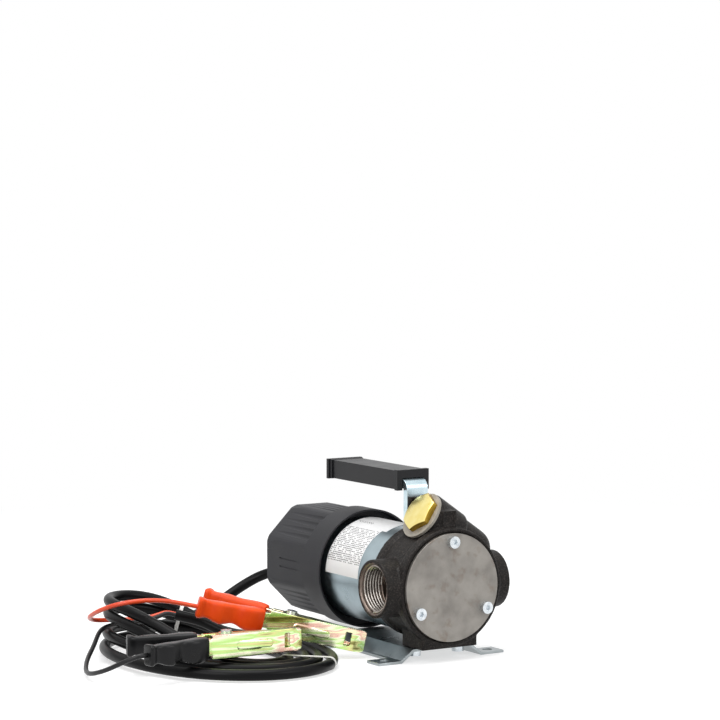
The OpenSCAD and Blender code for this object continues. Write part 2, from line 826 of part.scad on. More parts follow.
// Fixed housing of the rocker switch
module switch_housing() {
    color([0.08, 0.08, 0.09]) on_pump() translate([switch_x, cap_back, switch_z]) difference() {
        union() {
            translate([-switch_w / 2 - bezel, 0, -switch_h / 2 - bezel])
                cube([switch_w + 2 * bezel, bezel_t, switch_h + 2 * bezel]);
            translate([-switch_w / 2, -switch_deep, -switch_h / 2]) cube([switch_w, switch_deep + slip, switch_h]);
        }
        translate([-switch_w / 2 + bezel, -switch_h / 2, -switch_h / 2 + bezel])
            cube([switch_w - 2 * bezel, switch_h / 2 + bezel_t + cut, switch_h - 2 * bezel]);
    }
}

// Rocker of the switch, on its cross pivot
module switch_rocker() {
    wide = switch_w - 2 * bezel - 2 * rest_gap;
    tall = switch_h - 2 * bezel - 2 * rest_gap;
    reach = bezel_t + rocker_proud;
    lip = rocker_proud / 2;
    color([0.5, 0.1, 0.08]) on_pump() translate([switch_x, cap_back, switch_z]) rotate([0, 90, 0])
        linear_extrude(wide, center = true) polygon([
            [-tall / 2, bezel_t - lip], [-tall / 2 + lip, reach], [0, bezel_t], [tall / 2 - lip, reach],
            [tall / 2, bezel_t - lip], [tall / 4, -tall / 3], [-tall / 4, -tall / 3]
        ]);
}

// Brass hexagon cap with its threaded stem
module bypass_cap() {
    color([0.8, 0.66, 0.25]) on_pump() on_valve(barrel_face) {
        translate([0, 0, -stem_len]) cylinder(r = valve_bore_d / 2, h = stem_len + washer_t + slip);
        translate([0, 0, washer_t]) intersection() {
            rotate(hex_turn) cylinder(r = hex_af / sqrt(3), h = hex_h, $fn = 6);
            rotate_extrude() polygon([
                [0, 0], [hex_af / sqrt(3), 0], [hex_af / sqrt(3), hex_h - hex_chamfer],
                [hex_af / 2 - hex_chamfer / 2, hex_h], [0, hex_h]
            ]);
        }
    }
}

// Sealing washer under the brass cap, which hangs low on the stem
module bypass_washer() {
    color([0.62, 0.6, 0.55]) on_pump() on_valve(barrel_face) translate([-washer_drop, 0, 0]) difference() {
        cylinder(r = washer_d / 2, h = washer_t);
        translate([0, 0, -cut]) cylinder(r = valve_bore_d / 2 + slip + washer_drop, h = washer_t + 2 * cut);
    }
}

// Piston that lifts off its seat at full pressure
module bypass_piston() {
    color([0.7, 0.6, 0.3]) on_pump() on_valve(valve_seat + slip) difference() {
        cylinder(r = valve_bore_d / 2 - slip, h = piston_len);
        translate([0, 0, piston_len - spring_wire]) cylinder(r = valve_bore_d / 3, h = spring_wire + cut);
    }
}

// Spring between the piston and the cap
module bypass_spring() {
    low = valve_seat + piston_len + slip * 2 - spring_wire / 2;
    high = barrel_face - stem_len - spring_wire / 2 - slip;
    color([0.75, 0.76, 0.78]) on_pump() on_valve(low)
        tube(helix(valve_bore_d / 3 - spring_wire, high - low, spring_turns, spring_wire, 12), spring_wire, 6);
}

// Side view of the bent handle bar, on Y and Z
module bar_side() {
    r_out = bend_in + bar_t;
    translate([0, bar_low]) square([bar_t, bar_top - r_out - bar_low]);
    translate([r_out, bar_top - bar_t]) square([bar_reach - r_out, bar_t]);
    translate([r_out, bar_top - r_out]) intersection() {
        difference() {
            circle(r = r_out);
            circle(r = bend_in);
        }
        translate([-r_out, 0]) square(r_out);
    }
}

// Zinc flat bar that carries the grip
module handle_bracket() {
    color([0.75, 0.8, 0.82]) on_pump() difference() {
        translate([-bar_w / 2, bar_y, 0]) rotate([90, 0, 90]) linear_extrude(bar_w) bar_side();
        for (z = handle_screw_z) rod(handle_screw_d / 2 + loose, bar_y - cut, bar_y + bar_t + cut, z = z);
    }
}

// Moulded grip, a closed box over the bar
module handle_grip() {
    low = grip_top - grip_h;
    slot_w = bar_w + 2 * loose;
    color([0.1, 0.1, 0.11]) on_pump() difference() {
        union() {
            translate([-grip_w / 2, grip_front, low + grip_inset])
                cube([grip_w, grip_len - slip, grip_h - 2 * grip_inset]);
            translate([-grip_flange_w / 2, grip_front, low]) cube([grip_flange_w, grip_flange, grip_h]);
            translate([-rear_flange_w / 2, grip_front + grip_len - rear_flange_t / 2, low])
                cube([rear_flange_w, rear_flange_t / 2, grip_h]);
            translate([-rear_flange_w / 2 + flange_step, grip_front + grip_len - rear_flange_t, low + grip_inset / 2])
                cube([rear_flange_w - 2 * flange_step, rear_flange_t, grip_h - grip_inset]);
        }
        translate([-slot_w / 2, grip_front - cut, low - cut])
            cube([slot_w, grip_mouth + cut, bar_top + loose - low + cut]);
        translate([-slot_w / 2, grip_front - cut, bar_top - bar_t - slip])
            cube([slot_w, bar_reach - grip_front + bar_y + 2 * cut, bar_t + 2 * slip]);
    }
}

// Two screws that hold the bracket to the body
module handle_screws() {
    color([0.75, 0.76, 0.78]) on_pump() for (z = handle_screw_z) {
        rod(handle_screw_d / 2, handle_screw_tip, bar_y + bar_t + slip, z = z);
        rod(handle_head_d / 2, bar_y + bar_t, bar_y + bar_t + handle_head_h, z = z);
    }
}

// Section of the pressed base plate, on X and Z
module base_section() {
    top = base_top_w / 2;
    low = top + web_run;
    side = base_w / 2;
    slope = base_t * tan(atan2(base_h, web_run) / 2);
    polygon([
        [-side, 0], [-low + slope, 0], [-top + slope, base_h - base_t], [top - slope, base_h - base_t],
        [low - slope, 0], [side, 0], [side, base_t], [low, base_t], [top, base_h], [-top, base_h],
        [-low, base_t], [-side, base_t]
    ]);
}

// Pressed and plated base plate with four feet
module base_plate() {
    color([0.78, 0.8, 0.8]) difference() {
        translate([0, base_len / 2, 0]) rotate([90, 0, 0]) linear_extrude(base_len) base_section();
        for (side = [-1, 1]) {
            translate([side > 0 ? base_in_w / 2 + base_t : -base_w / 2 - cut, -hole_pitch_y / 2 + tab_len / 2, -cut])
                cube([base_w / 2 - base_in_w / 2 - base_t + cut, hole_pitch_y - tab_len, base_t + 2 * cut]);
            for (end = [-1, 1]) translate([side * hole_pitch_x / 2, end * hole_pitch_y / 2, -cut])
                cylinder(r = hole_d / 2, h = base_t + 2 * cut);
            translate([side * base_screw_x, base_screw_y - hole_pitch_y / 2 - cover_to_holes, 0])
                cylinder(r = base_screw_d / 2 + loose, h = base_h + cut);
        }
    }
}

// Two screws from under the plate into the cast foot
module base_screws() {
    color([0.78, 0.8, 0.8]) for (side = [-1, 1])
        translate([side * base_screw_x, base_screw_y - hole_pitch_y / 2 - cover_to_holes, 0]) {
            translate([0, 0, base_h - base_t - base_head_h]) cylinder(r = cover_head_d / 2, h = base_head_h);
            translate([0, 0, base_h - base_t - slip])
                cylinder(r = base_screw_d / 2, h = base_screw_len);
        }
}

// A band round the near side of the tube, from one height to another
module side_band(front, back, low_turn, high_turn, r, t) {
    along(front) rotate([0, 0, 180 + low_turn]) rotate_extrude(angle = high_turn - low_turn)
        translate([r, 0]) square([t, back - front]);
}

// Thin label round the near side of the tube, with a longer strip at its top
module rating_label() {
    color([0.92, 0.92, 0.92]) on_pump() difference() {
        side_band(strip_front, cap_front - slip, label_low_turn, label_high_turn, tube_d / 2 + slip, label_t);
        side_band(strip_front - cut, label_front, -label_low_turn, strip_low_turn, tube_d / 2 - cut, label_t + 2 * cut);
    }
}

// Smooth step from 0 to 1
function ease(u) = let (v = min(max(u, 0), 1)) v * v * (3 - 2 * v);

// Point on the middle line of the coil after so many turns
function coil_at(t) = let (
    a = coil_start + 360 * t,
    raised = pow((1 + cos(a - raised_side)) / 2, raised_sharpness),
    bulge = coil_bulge * pow((1 + cos(a - bulge_side)) / 2, 3) * (1 - ease(t - 0.4)),
    wound = coil_pitch * t * cos(90 * raised) + coil_tuck * ease((t - coil_turns) * 3 + 1),
    x = (coil_rx - wound + bulge) * cos(a),
    y = (coil_ry - wound + bulge) * sin(a)
) [
    coil_x + x * cos(coil_lean) - y * sin(coil_lean),
    coil_y + x * sin(coil_lean) + y * cos(coil_lean),
    coil_floor + coil_lift * raised + coil_pitch * t * sin(90 * raised) + lead_room * raised * ease(2 * t - 2.8)
];

coil_steps = round(coil_turns * rings_per_loop);
coil_loops = [for (i = [0 : coil_steps]) coil_at(coil_turns * i / coil_steps)];

// Place on the tube's own middle line after t turns
function loop_at(t) = let (s = t * coil_steps / coil_turns, i = floor(s))
    coil_loops[i] + (s - i) * (coil_loops[i + 1] - coil_loops[i]);

coil_into = heading(coil_loops, 0);
coil_out = heading(coil_loops, coil_steps);
coil_first = coil_loops[0] - coil_into * cable_d;
coil_last = coil_loops[coil_steps] + coil_out * cable_d;
coil_path = concat([coil_first], coil_loops, [coil_last]);
coil_gap = min([for (i = [0 : coil_steps]) for (k = [i + 12 : 1 : coil_steps]) norm(coil_loops[i] - coil_loops[k])]) - cable_d;
echo(coil_gap = coil_gap);

gland_tip = [gland_x, cap_back + gland_len - hole_pitch_y / 2 - cover_to_holes, axis_h + gland_z];
supply_path = routed(gland_tip, [0, 1, 0], supply_route, coil_into, coil_first, cable_d);
tail_way = unit(tail_end - tail_route[len(tail_route) - 1]);
tail_path = routed(coil_last, coil_out, tail_route, tail_way, tail_end, cable_d);

// Cable from the gland to the coil
module supply_cable() {
    color([0.07, 0.07, 0.08]) tube(supply_path, cable_d, 8);
}

// Coil of spare cable
module cable_coil() {
    color([0.07, 0.07, 0.08]) tube(coil_path, cable_d, 6);
}

// Cable from the coil to where its sheath ends
module cable_tail() {
    color([0.07, 0.07, 0.08]) tube(tail_path, cable_d, 8);
}

core_side = unit(cross(tail_way, [0, 0, 1])) * cable_d / 4;

// Middle of the end face of a clamp's near sleeve
function lever_end(at, turn) = let (
    h = lever_w / 4,
    x = -lever_bend - sleeve_end * cos(lever_angle) - h * sin(lever_angle),
    y = -near_y - sleeve_end * sin(lever_angle) + h * cos(lever_angle),
    dip = turn[1], yaw = turn[2],
    u = x * cos(dip), w = -x * sin(dip)
) at + [u * cos(yaw) - y * sin(yaw), u * sin(yaw) + y * cos(yaw), w];

// Direction in which a lead enters the near sleeve
function lever_way(turn) = let (dip = turn[1], yaw = turn[2], x = cos(lever_angle), y = sin(lever_angle))
    [x * cos(dip) * cos(yaw) - y * sin(yaw), x * cos(dip) * sin(yaw) + y * cos(yaw), -x * sin(dip)];

red_end = lever_end(red_at, red_turn);
black_end = lever_end(black_at, black_turn);
red_path = routed(tail_end + core_side, tail_way, red_route, lever_way(red_turn), red_end, 2 * lead_d);
black_path = routed(tail_end - core_side, tail_way, black_route, lever_way(black_turn), black_end, 2 * lead_d);

// Red lead from the end of the sheath to its clamp
module red_lead() {
    color([0.85, 0.25, 0.08]) tube(red_path, lead_d, 8);
}

// Black lead from the end of the sheath to its clamp
module black_lead() {
    color([0.07, 0.07, 0.08]) tube(black_path, lead_d, 8);
}

// One flat tie round all the turns at a place on the coil
module cable_tie(t0, slack) {
    turns = [for (k = [0 : floor(coil_turns - t0)]) loop_at(t0 + k)];
    step = 0.01;
    ways = [for (k = [0 : len(turns) - 1]) unit(loop_at(t0 + k + step) - loop_at(t0 + k - step))];
    way = unit([for (w = ways) 1] * ways);
    out = unit(cross(way, [0, 0, 1]));
    up = cross(out, way);
    base = turns[0];
    offs = [for (p = turns) [(p - base) * out, (p - base) * up]];
    translate(base) multmatrix([
        [out[0], up[0], way[0], 0], [out[1], up[1], way[1], 0], [out[2], up[2], way[2], 0], [0, 0, 0, 1]
    ]) linear_extrude(tie_w, center = true) difference() {
        hull() for (o = offs) translate(o) circle(r = cable_d / 2 + slack + tie_t, $fn = 24);
        hull() for (o = offs) translate(o) circle(r = cable_d / 2 + slack, $fn = 24);
    }
}

// Two white ties round the coil
module cable_ties() {
    color([0.93, 0.93, 0.93]) for (t = tie_places) cable_tie(t[0], t[1]);
}

// Plan of one flange of a clamp half, on the near side
module jaw_flange() {
    polygon(concat(
        [[-lever_bend, -near_y], [lever_bend, -near_y], [tip_x - jaw_nose, -tip_y - nose_rise], [tip_x, -tip_y]],
        [for (i = [0 : tooth_count]) [tip_x - i * tooth_pitch, -rest_gap / 2 - (i % 2) * tooth_h]],
        [[tip_x - throat_run, -near_y / 3], [ear_r, -near_y / 3], [ear_r, -near_y / 2], [-ear_r, -near_y / 2],
         [-lever_bend, -near_y + jaw_flange_h]]
    ));
    hull() {
        circle(r = ear_r - sheet_t / 2, $fn = 32);
        translate([0, -near_y / 2]) square([2 * ear_r, sheet_t], center = true);
    }
}

// Plan of the web of a clamp half, on the near side
module jaw_web() {
    polygon([
        [-lever_bend, -near_y], [lever_bend, -near_y], [tip_x - jaw_nose, -tip_y - nose_rise], [tip_x, -tip_y],
        [tip_x, -tip_y + sheet_t], [tip_x - jaw_nose, -tip_y - nose_rise + sheet_t],
        [lever_bend, -near_y + sheet_t], [-lever_bend, -near_y + sheet_t]
    ]);
}

// One stamped half of a clamp, so wide, with its lever
module clamp_half(wide, hole_r) {
    difference() {
        union() {
            linear_extrude(wide, center = true) jaw_web();
            for (side = [-1, 1]) translate([0, 0, side * (wide - sheet_t) / 2])
                linear_extrude(sheet_t, center = true) jaw_flange();
            translate([-lever_bend, -near_y, 0]) rotate(lever_angle)
                translate([-lever_long, 0, -lever_w / 2]) difference() {
                    cube([lever_long + sheet_t, lever_w / 2, lever_w]);
                    translate([-cut, sheet_t, sheet_t])
                        cube([2 * lever_len, lever_w, lever_w - 2 * sheet_t]);
                }
            translate([(lever_bend + tip_x) / 2 - lever_bend, -near_y, 0]) rotate([90, 0, 0])
                linear_extrude(sheet_t / 2, center = true) hull() for (x = [-lever_bend, lever_bend / 2])
                    translate([x, 0]) circle(r = clamp_w / 6, $fn = 32);
        }
        cylinder(r = hole_r, h = clamp_w + 2 * cut, center = true);
        translate([tip_x - jaw_slot_in, -near_y, 0])
            cube([jaw_slot, 2 * near_y, wide * jaw_slot_share], center = true);
    }
}

// Plastic sleeve on a clamp lever, at the lever's own place
module lever_sleeve() {
    inner = lever_w + 2 * sleeve_fit;
    deep = lever_w / 2 + 2 * sleeve_fit;
    top = deep + sleeve_wall - sleeve_fit;
    translate([-lever_bend, -near_y, 0]) rotate(lever_angle) difference() {
        linear_extrude(inner + 2 * sleeve_wall, center = true) polygon(concat(
            [for (s = sleeve_shares) [-sleeve_end * s[0], -sleeve_wall * s[1]]],
            [[-sleeve_end * sleeve_shares[len(sleeve_shares) - 1][0], top], [-sleeve_end, top]]
        ));
        translate([-lever_long - sleeve_fit, -sleeve_fit, -inner / 2]) cube([lever_long + 2 * sleeve_fit, deep, inner]);
    }
}

// Places a piece of a clamp, and its far half by a mirror
module at_clamp(at, turn, far = false) {
    translate(at) rotate(turn) mirror([0, far ? 1 : 0, 0]) children();
}

// Fixed half of a clamp
module clamp_jaw(at, turn) {
    color([0.78, 0.76, 0.45]) at_clamp(at, turn) clamp_half(clamp_w, pin_d / 2);
}

// Moving half of a clamp, which nests inside the fixed half
module clamp_lever(at, turn) {
    color([0.78, 0.76, 0.45]) at_clamp(at, turn, true) clamp_half(clamp_w - 2 * nest, pin_d / 2 + slip);
}

// Pin that both halves turn on
module clamp_pin(at, turn) {
    color([0.8, 0.82, 0.84]) at_clamp(at, turn) {
        cylinder(r = pin_d / 2, h = clamp_w + sheet_t, center = true);
        for (side = [-1, 1]) translate([0, 0, side * (clamp_w / 2 + sheet_t / 2)])
            cylinder(r = pin_d / 2 + pin_head, h = sheet_t, center = true);
    }
}

// Spring round the pin, which closes the jaws
module clamp_spring(at, turn) {
    rise = clamp_w - 2 * nest - 2 * sheet_t - clamp_wire - 2 * slip;
    color([0.8, 0.82, 0.84]) at_clamp(at, turn) translate([0, 0, -rise / 2])
        tube(helix(clamp_coil_r, rise, clamp_curls, clamp_wire, 12), clamp_wire, 6);
}

pump_body();
front_cover();
cover_gasket();
cover_screws();
vane_rotor();
vane(0);  // vane_1
vane(1);  // vane_2
vane(2);  // vane_3
vane(3);  // vane_4
vane(4);  // vane_5
motor_shaft();
shaft_seal();
front_bearing();
rear_bearing();
motor_tube();
field_magnets();
armature_core();
armature_windings();
commutator();
brush_holder();
carbon_brushes();
brush_springs();
rear_shield();
tie_bolts();
motor_cap();
cap_screws();
cable_gland();
switch_housing();
switch_rocker();
bypass_cap();
bypass_washer();
bypass_piston();
bypass_spring();
handle_bracket();
handle_grip();
handle_screws();
base_plate();
base_screws();
rating_label();
supply_cable();
cable_coil();
cable_tail();
red_lead();
black_lead();
cable_ties();
clamp_jaw(red_at, red_turn);  // red_clamp_jaw
clamp_lever(red_at, red_turn);  // red_clamp_lever
clamp_pin(red_at, red_turn);  // red_clamp_pin
clamp_spring(red_at, red_turn);  // red_clamp_spring
color([0.9, 0.25, 0.06]) at_clamp(red_at, red_turn) lever_sleeve();  // red_clamp_sleeve
color([0.9, 0.25, 0.06]) at_clamp(red_at, red_turn, true) lever_sleeve();  // red_clamp_lever_sleeve
clamp_jaw(black_at, black_turn);  // black_clamp_jaw
clamp_lever(black_at, black_turn);  // black_clamp_lever
clamp_pin(black_at, black_turn);  // black_clamp_pin
clamp_spring(black_at, black_turn);  // black_clamp_spring
color([0.09, 0.09, 0.1]) at_clamp(black_at, black_turn) lever_sleeve();  // black_clamp_sleeve
color([0.09, 0.09, 0.1]) at_clamp(black_at, black_turn, true) lever_sleeve();  // black_clamp_lever_sleeve
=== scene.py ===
import math

import bmesh
import bpy
from mathutils import Matrix, Vector


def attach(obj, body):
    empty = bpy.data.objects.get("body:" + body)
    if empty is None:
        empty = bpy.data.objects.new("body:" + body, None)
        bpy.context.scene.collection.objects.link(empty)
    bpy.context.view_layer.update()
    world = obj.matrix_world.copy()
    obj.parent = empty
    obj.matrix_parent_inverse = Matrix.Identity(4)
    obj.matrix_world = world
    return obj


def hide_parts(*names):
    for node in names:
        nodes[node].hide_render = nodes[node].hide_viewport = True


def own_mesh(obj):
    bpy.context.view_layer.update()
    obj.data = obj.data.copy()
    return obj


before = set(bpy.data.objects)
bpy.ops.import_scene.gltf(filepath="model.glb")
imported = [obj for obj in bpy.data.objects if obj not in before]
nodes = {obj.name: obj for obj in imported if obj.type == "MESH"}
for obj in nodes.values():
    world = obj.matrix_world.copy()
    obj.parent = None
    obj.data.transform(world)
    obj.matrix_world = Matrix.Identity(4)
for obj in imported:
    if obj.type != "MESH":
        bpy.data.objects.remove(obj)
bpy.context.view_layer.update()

mm = 0.001
print("frame loaded:", len(nodes), "nodes")

# camera, floor and lamps
studio = {
    "cameraPlace": (-0.9959, -1.55445, 0.3287),   # metres, fitted to the photograph
    "cameraTilt": 86.252, "cameraTurn": -31.62,   # degrees
    "lens": 130, "sensor": 36, "sight": 50,   # mm, mm, metres
    "floorColour": "BEBEBE", "floorGlow": 0.6, "floorSize": 14, "floorDrop": 0.0001,
    "whiteFrom": 0.45, "whiteTo": 0.9,   # metres from the part, where the floor turns plain white
    "worldLight": 0.31,
    # name, place, aimed at, width, height, watts
    "lamps": [
        ("topSoftbox", (-0.3, -0.1, 1.9), (-0.05, 0.05, 0.05), 1.6, 1.6, 34),
        ("leftSoftbox", (-1.7, -0.8, 1.1), (-0.05, 0.0, 0.06), 0.9, 1.3, 17),
        ("frontSoftbox", (0.7, -1.8, 1.2), (0.0, -0.05, 0.06), 1.2, 0.7, 11),
    ],
}
pumpBack = 59.8     # mm from the cover face back to the middle of the mounting holes
shaftHeight = 52.3  # mm from the floor


def toLinear(value):
    return value / 12.92 if value <= 0.04045 else ((value + 0.055) / 1.055) ** 2.4


def colour(hexText):
    return (*[toLinear(int(hexText[i:i + 2], 16) / 255) for i in (0, 2, 4)], 1.0)


def addNode(tree, kind, settings=None, links=None):
    # settings are the node's own or the plain values of its inputs
    node = tree.nodes.new(kind)
    for key, value in (settings or {}).items():
        if isinstance(key, int) or key in node.inputs:
            node.inputs[key].default_value = value
        else:
            setattr(node, key, value)
    for key, source in (links or {}).items():
        tree.links.new(source, node.inputs[key])
    return node


def calc(tree, operation, *parts):
    # a Math node over sockets and plain numbers
    plain = {i: part for i, part in enumerate(parts) if isinstance(part, (int, float))}
    sockets = {i: part for i, part in enumerate(parts) if i not in plain}
    return addNode(tree, "ShaderNodeMath", {"operation": operation, **plain}, sockets).outputs[0]


def noiseOf(tree, where, sizeMm, detail, stretch=None):
    if stretch:
        where = addNode(tree, "ShaderNodeMapping", {"Scale": stretch}, {"Vector": where}).outputs[0]
    return addNode(tree, "ShaderNodeTexNoise", {"Scale": 1000 / sizeMm, "Detail": detail},
                   {"Vector": where}).outputs["Fac"]


def blend(tree, factor, first, second):
    # mixes two colours, each a hex text or a socket
    node = addNode(tree, "ShaderNodeMix", {"data_type": "RGBA"}, {0: factor})
    for slot, value in ((6, first), (7, second)):
        if isinstance(value, str):
            node.inputs[slot].default_value = colour(value)
        else:
            tree.links.new(value, node.inputs[slot])
    return node.outputs[2]


def spreadOf(tree, source, low, high, fromLow=0.3, fromHigh=0.7):
    # spreads the middle of a noise, or another part of a value, from low to high
    return addNode(tree, "ShaderNodeMapRange",
                   {"From Min": fromLow, "From Max": fromHigh, "To Min": low, "To Max": high},
                   {"Value": source}).outputs[0]


def dress(tree, shader, base, rough, metallic, heights):
    # colour, roughness and metal of a shader, and its bumps as noise and depth in mm
    shader.inputs["Metallic"].default_value = metallic
    tree.links.new(base, shader.inputs["Base Color"])
    tree.links.new(rough, shader.inputs["Roughness"])
    normal = None
    for source, depthMm in heights:
        links = {"Height": source}
        if normal:
            links["Normal"] = normal
        bump = {"Strength": 1.0, "Distance": depthMm * mm}
        normal = addNode(tree, "ShaderNodeBump", bump, links).outputs[0]
    tree.links.new(normal, shader.inputs["Normal"])


def linkObject(name, data):
    piece = bpy.data.objects.new(name, data)
    bpy.context.scene.collection.objects.link(piece)
    return piece


def placeCamera():
    camera = linkObject("photoCamera", bpy.data.cameras.new("photoCamera"))
    camera.data.lens = studio["lens"]
    camera.data.sensor_width = studio["sensor"]
    camera.data.clip_end = studio["sight"]
    camera.location = studio["cameraPlace"]
    camera.rotation_euler = (math.radians(studio["cameraTilt"]), 0, math.radians(studio["cameraTurn"]))
    bpy.context.scene.camera = camera


def showsBackdrop(tree):
    # 1 for rays that see the backdrop, 0 for the diffuse ones that light the part
    path = addNode(tree, "ShaderNodeLightPath").outputs
    seen = calc(tree, "MAXIMUM", path["Is Camera Ray"], path["Is Glossy Ray"])
    return calc(tree, "MAXIMUM", seen, path["Is Transmission Ray"])


def layFloor():
    # matt near the part, so that it holds the shadow, and plain white further off
    half = studio["floorSize"] / 2
    mesh = bpy.data.meshes.new("floor")
    corners = [(x * half, y * half, -studio["floorDrop"]) for x, y in ((-1, -1), (1, -1), (1, 1), (-1, 1))]
    mesh.from_pydata(corners, [], [(0, 1, 2, 3)])
    floor = linkObject("floor", mesh)
    material = bpy.data.materials.new("paleFloor")
    material.use_nodes = True
    tree = material.node_tree
    tree.nodes.clear()
    diffuse = addNode(tree, "ShaderNodeBsdfDiffuse", {"Color": colour(studio["floorColour"])})
    glow = addNode(tree, "ShaderNodeEmission", {"Color": (1, 1, 1, 1)})
    tree.links.new(calc(tree, "MULTIPLY", showsBackdrop(tree), studio["floorGlow"]), glow.inputs["Strength"])
    both = addNode(tree, "ShaderNodeAddShader", {}, {0: diffuse.outputs[0], 1: glow.outputs[0]})
    where = addNode(tree, "ShaderNodeTexCoord").outputs["Object"]
    away = addNode(tree, "ShaderNodeVectorMath", {"operation": "LENGTH"}, {0: where}).outputs["Value"]
    far = spreadOf(tree, away, 0, 1, studio["whiteFrom"], studio["whiteTo"])
    share = calc(tree, "MULTIPLY", far, showsBackdrop(tree))
    white = addNode(tree, "ShaderNodeEmission", {"Color": (1, 1, 1, 1), "Strength": 1.0})
    mixed = addNode(tree, "ShaderNodeMixShader", {}, {0: share, 1: both.outputs[0], 2: white.outputs[0]})
    addNode(tree, "ShaderNodeOutputMaterial", {}, {"Surface": mixed.outputs[0]})
    mesh.materials.append(material)


def lightStudio():
    world = bpy.data.worlds.new("paleRoom")
    bpy.context.scene.world = world
    world.use_nodes = True
    tree = world.node_tree
    tree.nodes.clear()
    room = addNode(tree, "ShaderNodeBackground", {"Color": (1, 1, 1, 1), "Strength": studio["worldLight"]})
    white = addNode(tree, "ShaderNodeBackground", {"Color": (1, 1, 1, 1), "Strength": 1.0})
    mixed = addNode(tree, "ShaderNodeMixShader", {},
                    {0: showsBackdrop(tree), 1: room.outputs[0], 2: white.outputs[0]})
    addNode(tree, "ShaderNodeOutputWorld", {}, {"Surface": mixed.outputs[0]})
    for name, place, target, width, height, watts in studio["lamps"]:
        lamp = linkObject(name, bpy.data.lights.new(name, "AREA"))
        lamp.data.shape = "RECTANGLE"
        lamp.data.size, lamp.data.size_y = width, height
        lamp.data.energy = watts
        lamp.location = place
        lamp.rotation_euler = (Vector(target) - Vector(place)).to_track_quat("-Z", "Y").to_euler()
    bpy.context.scene.view_settings.view_transform = "Standard"


placeCamera()
layFloor()
lightStudio()
print("studio ready")

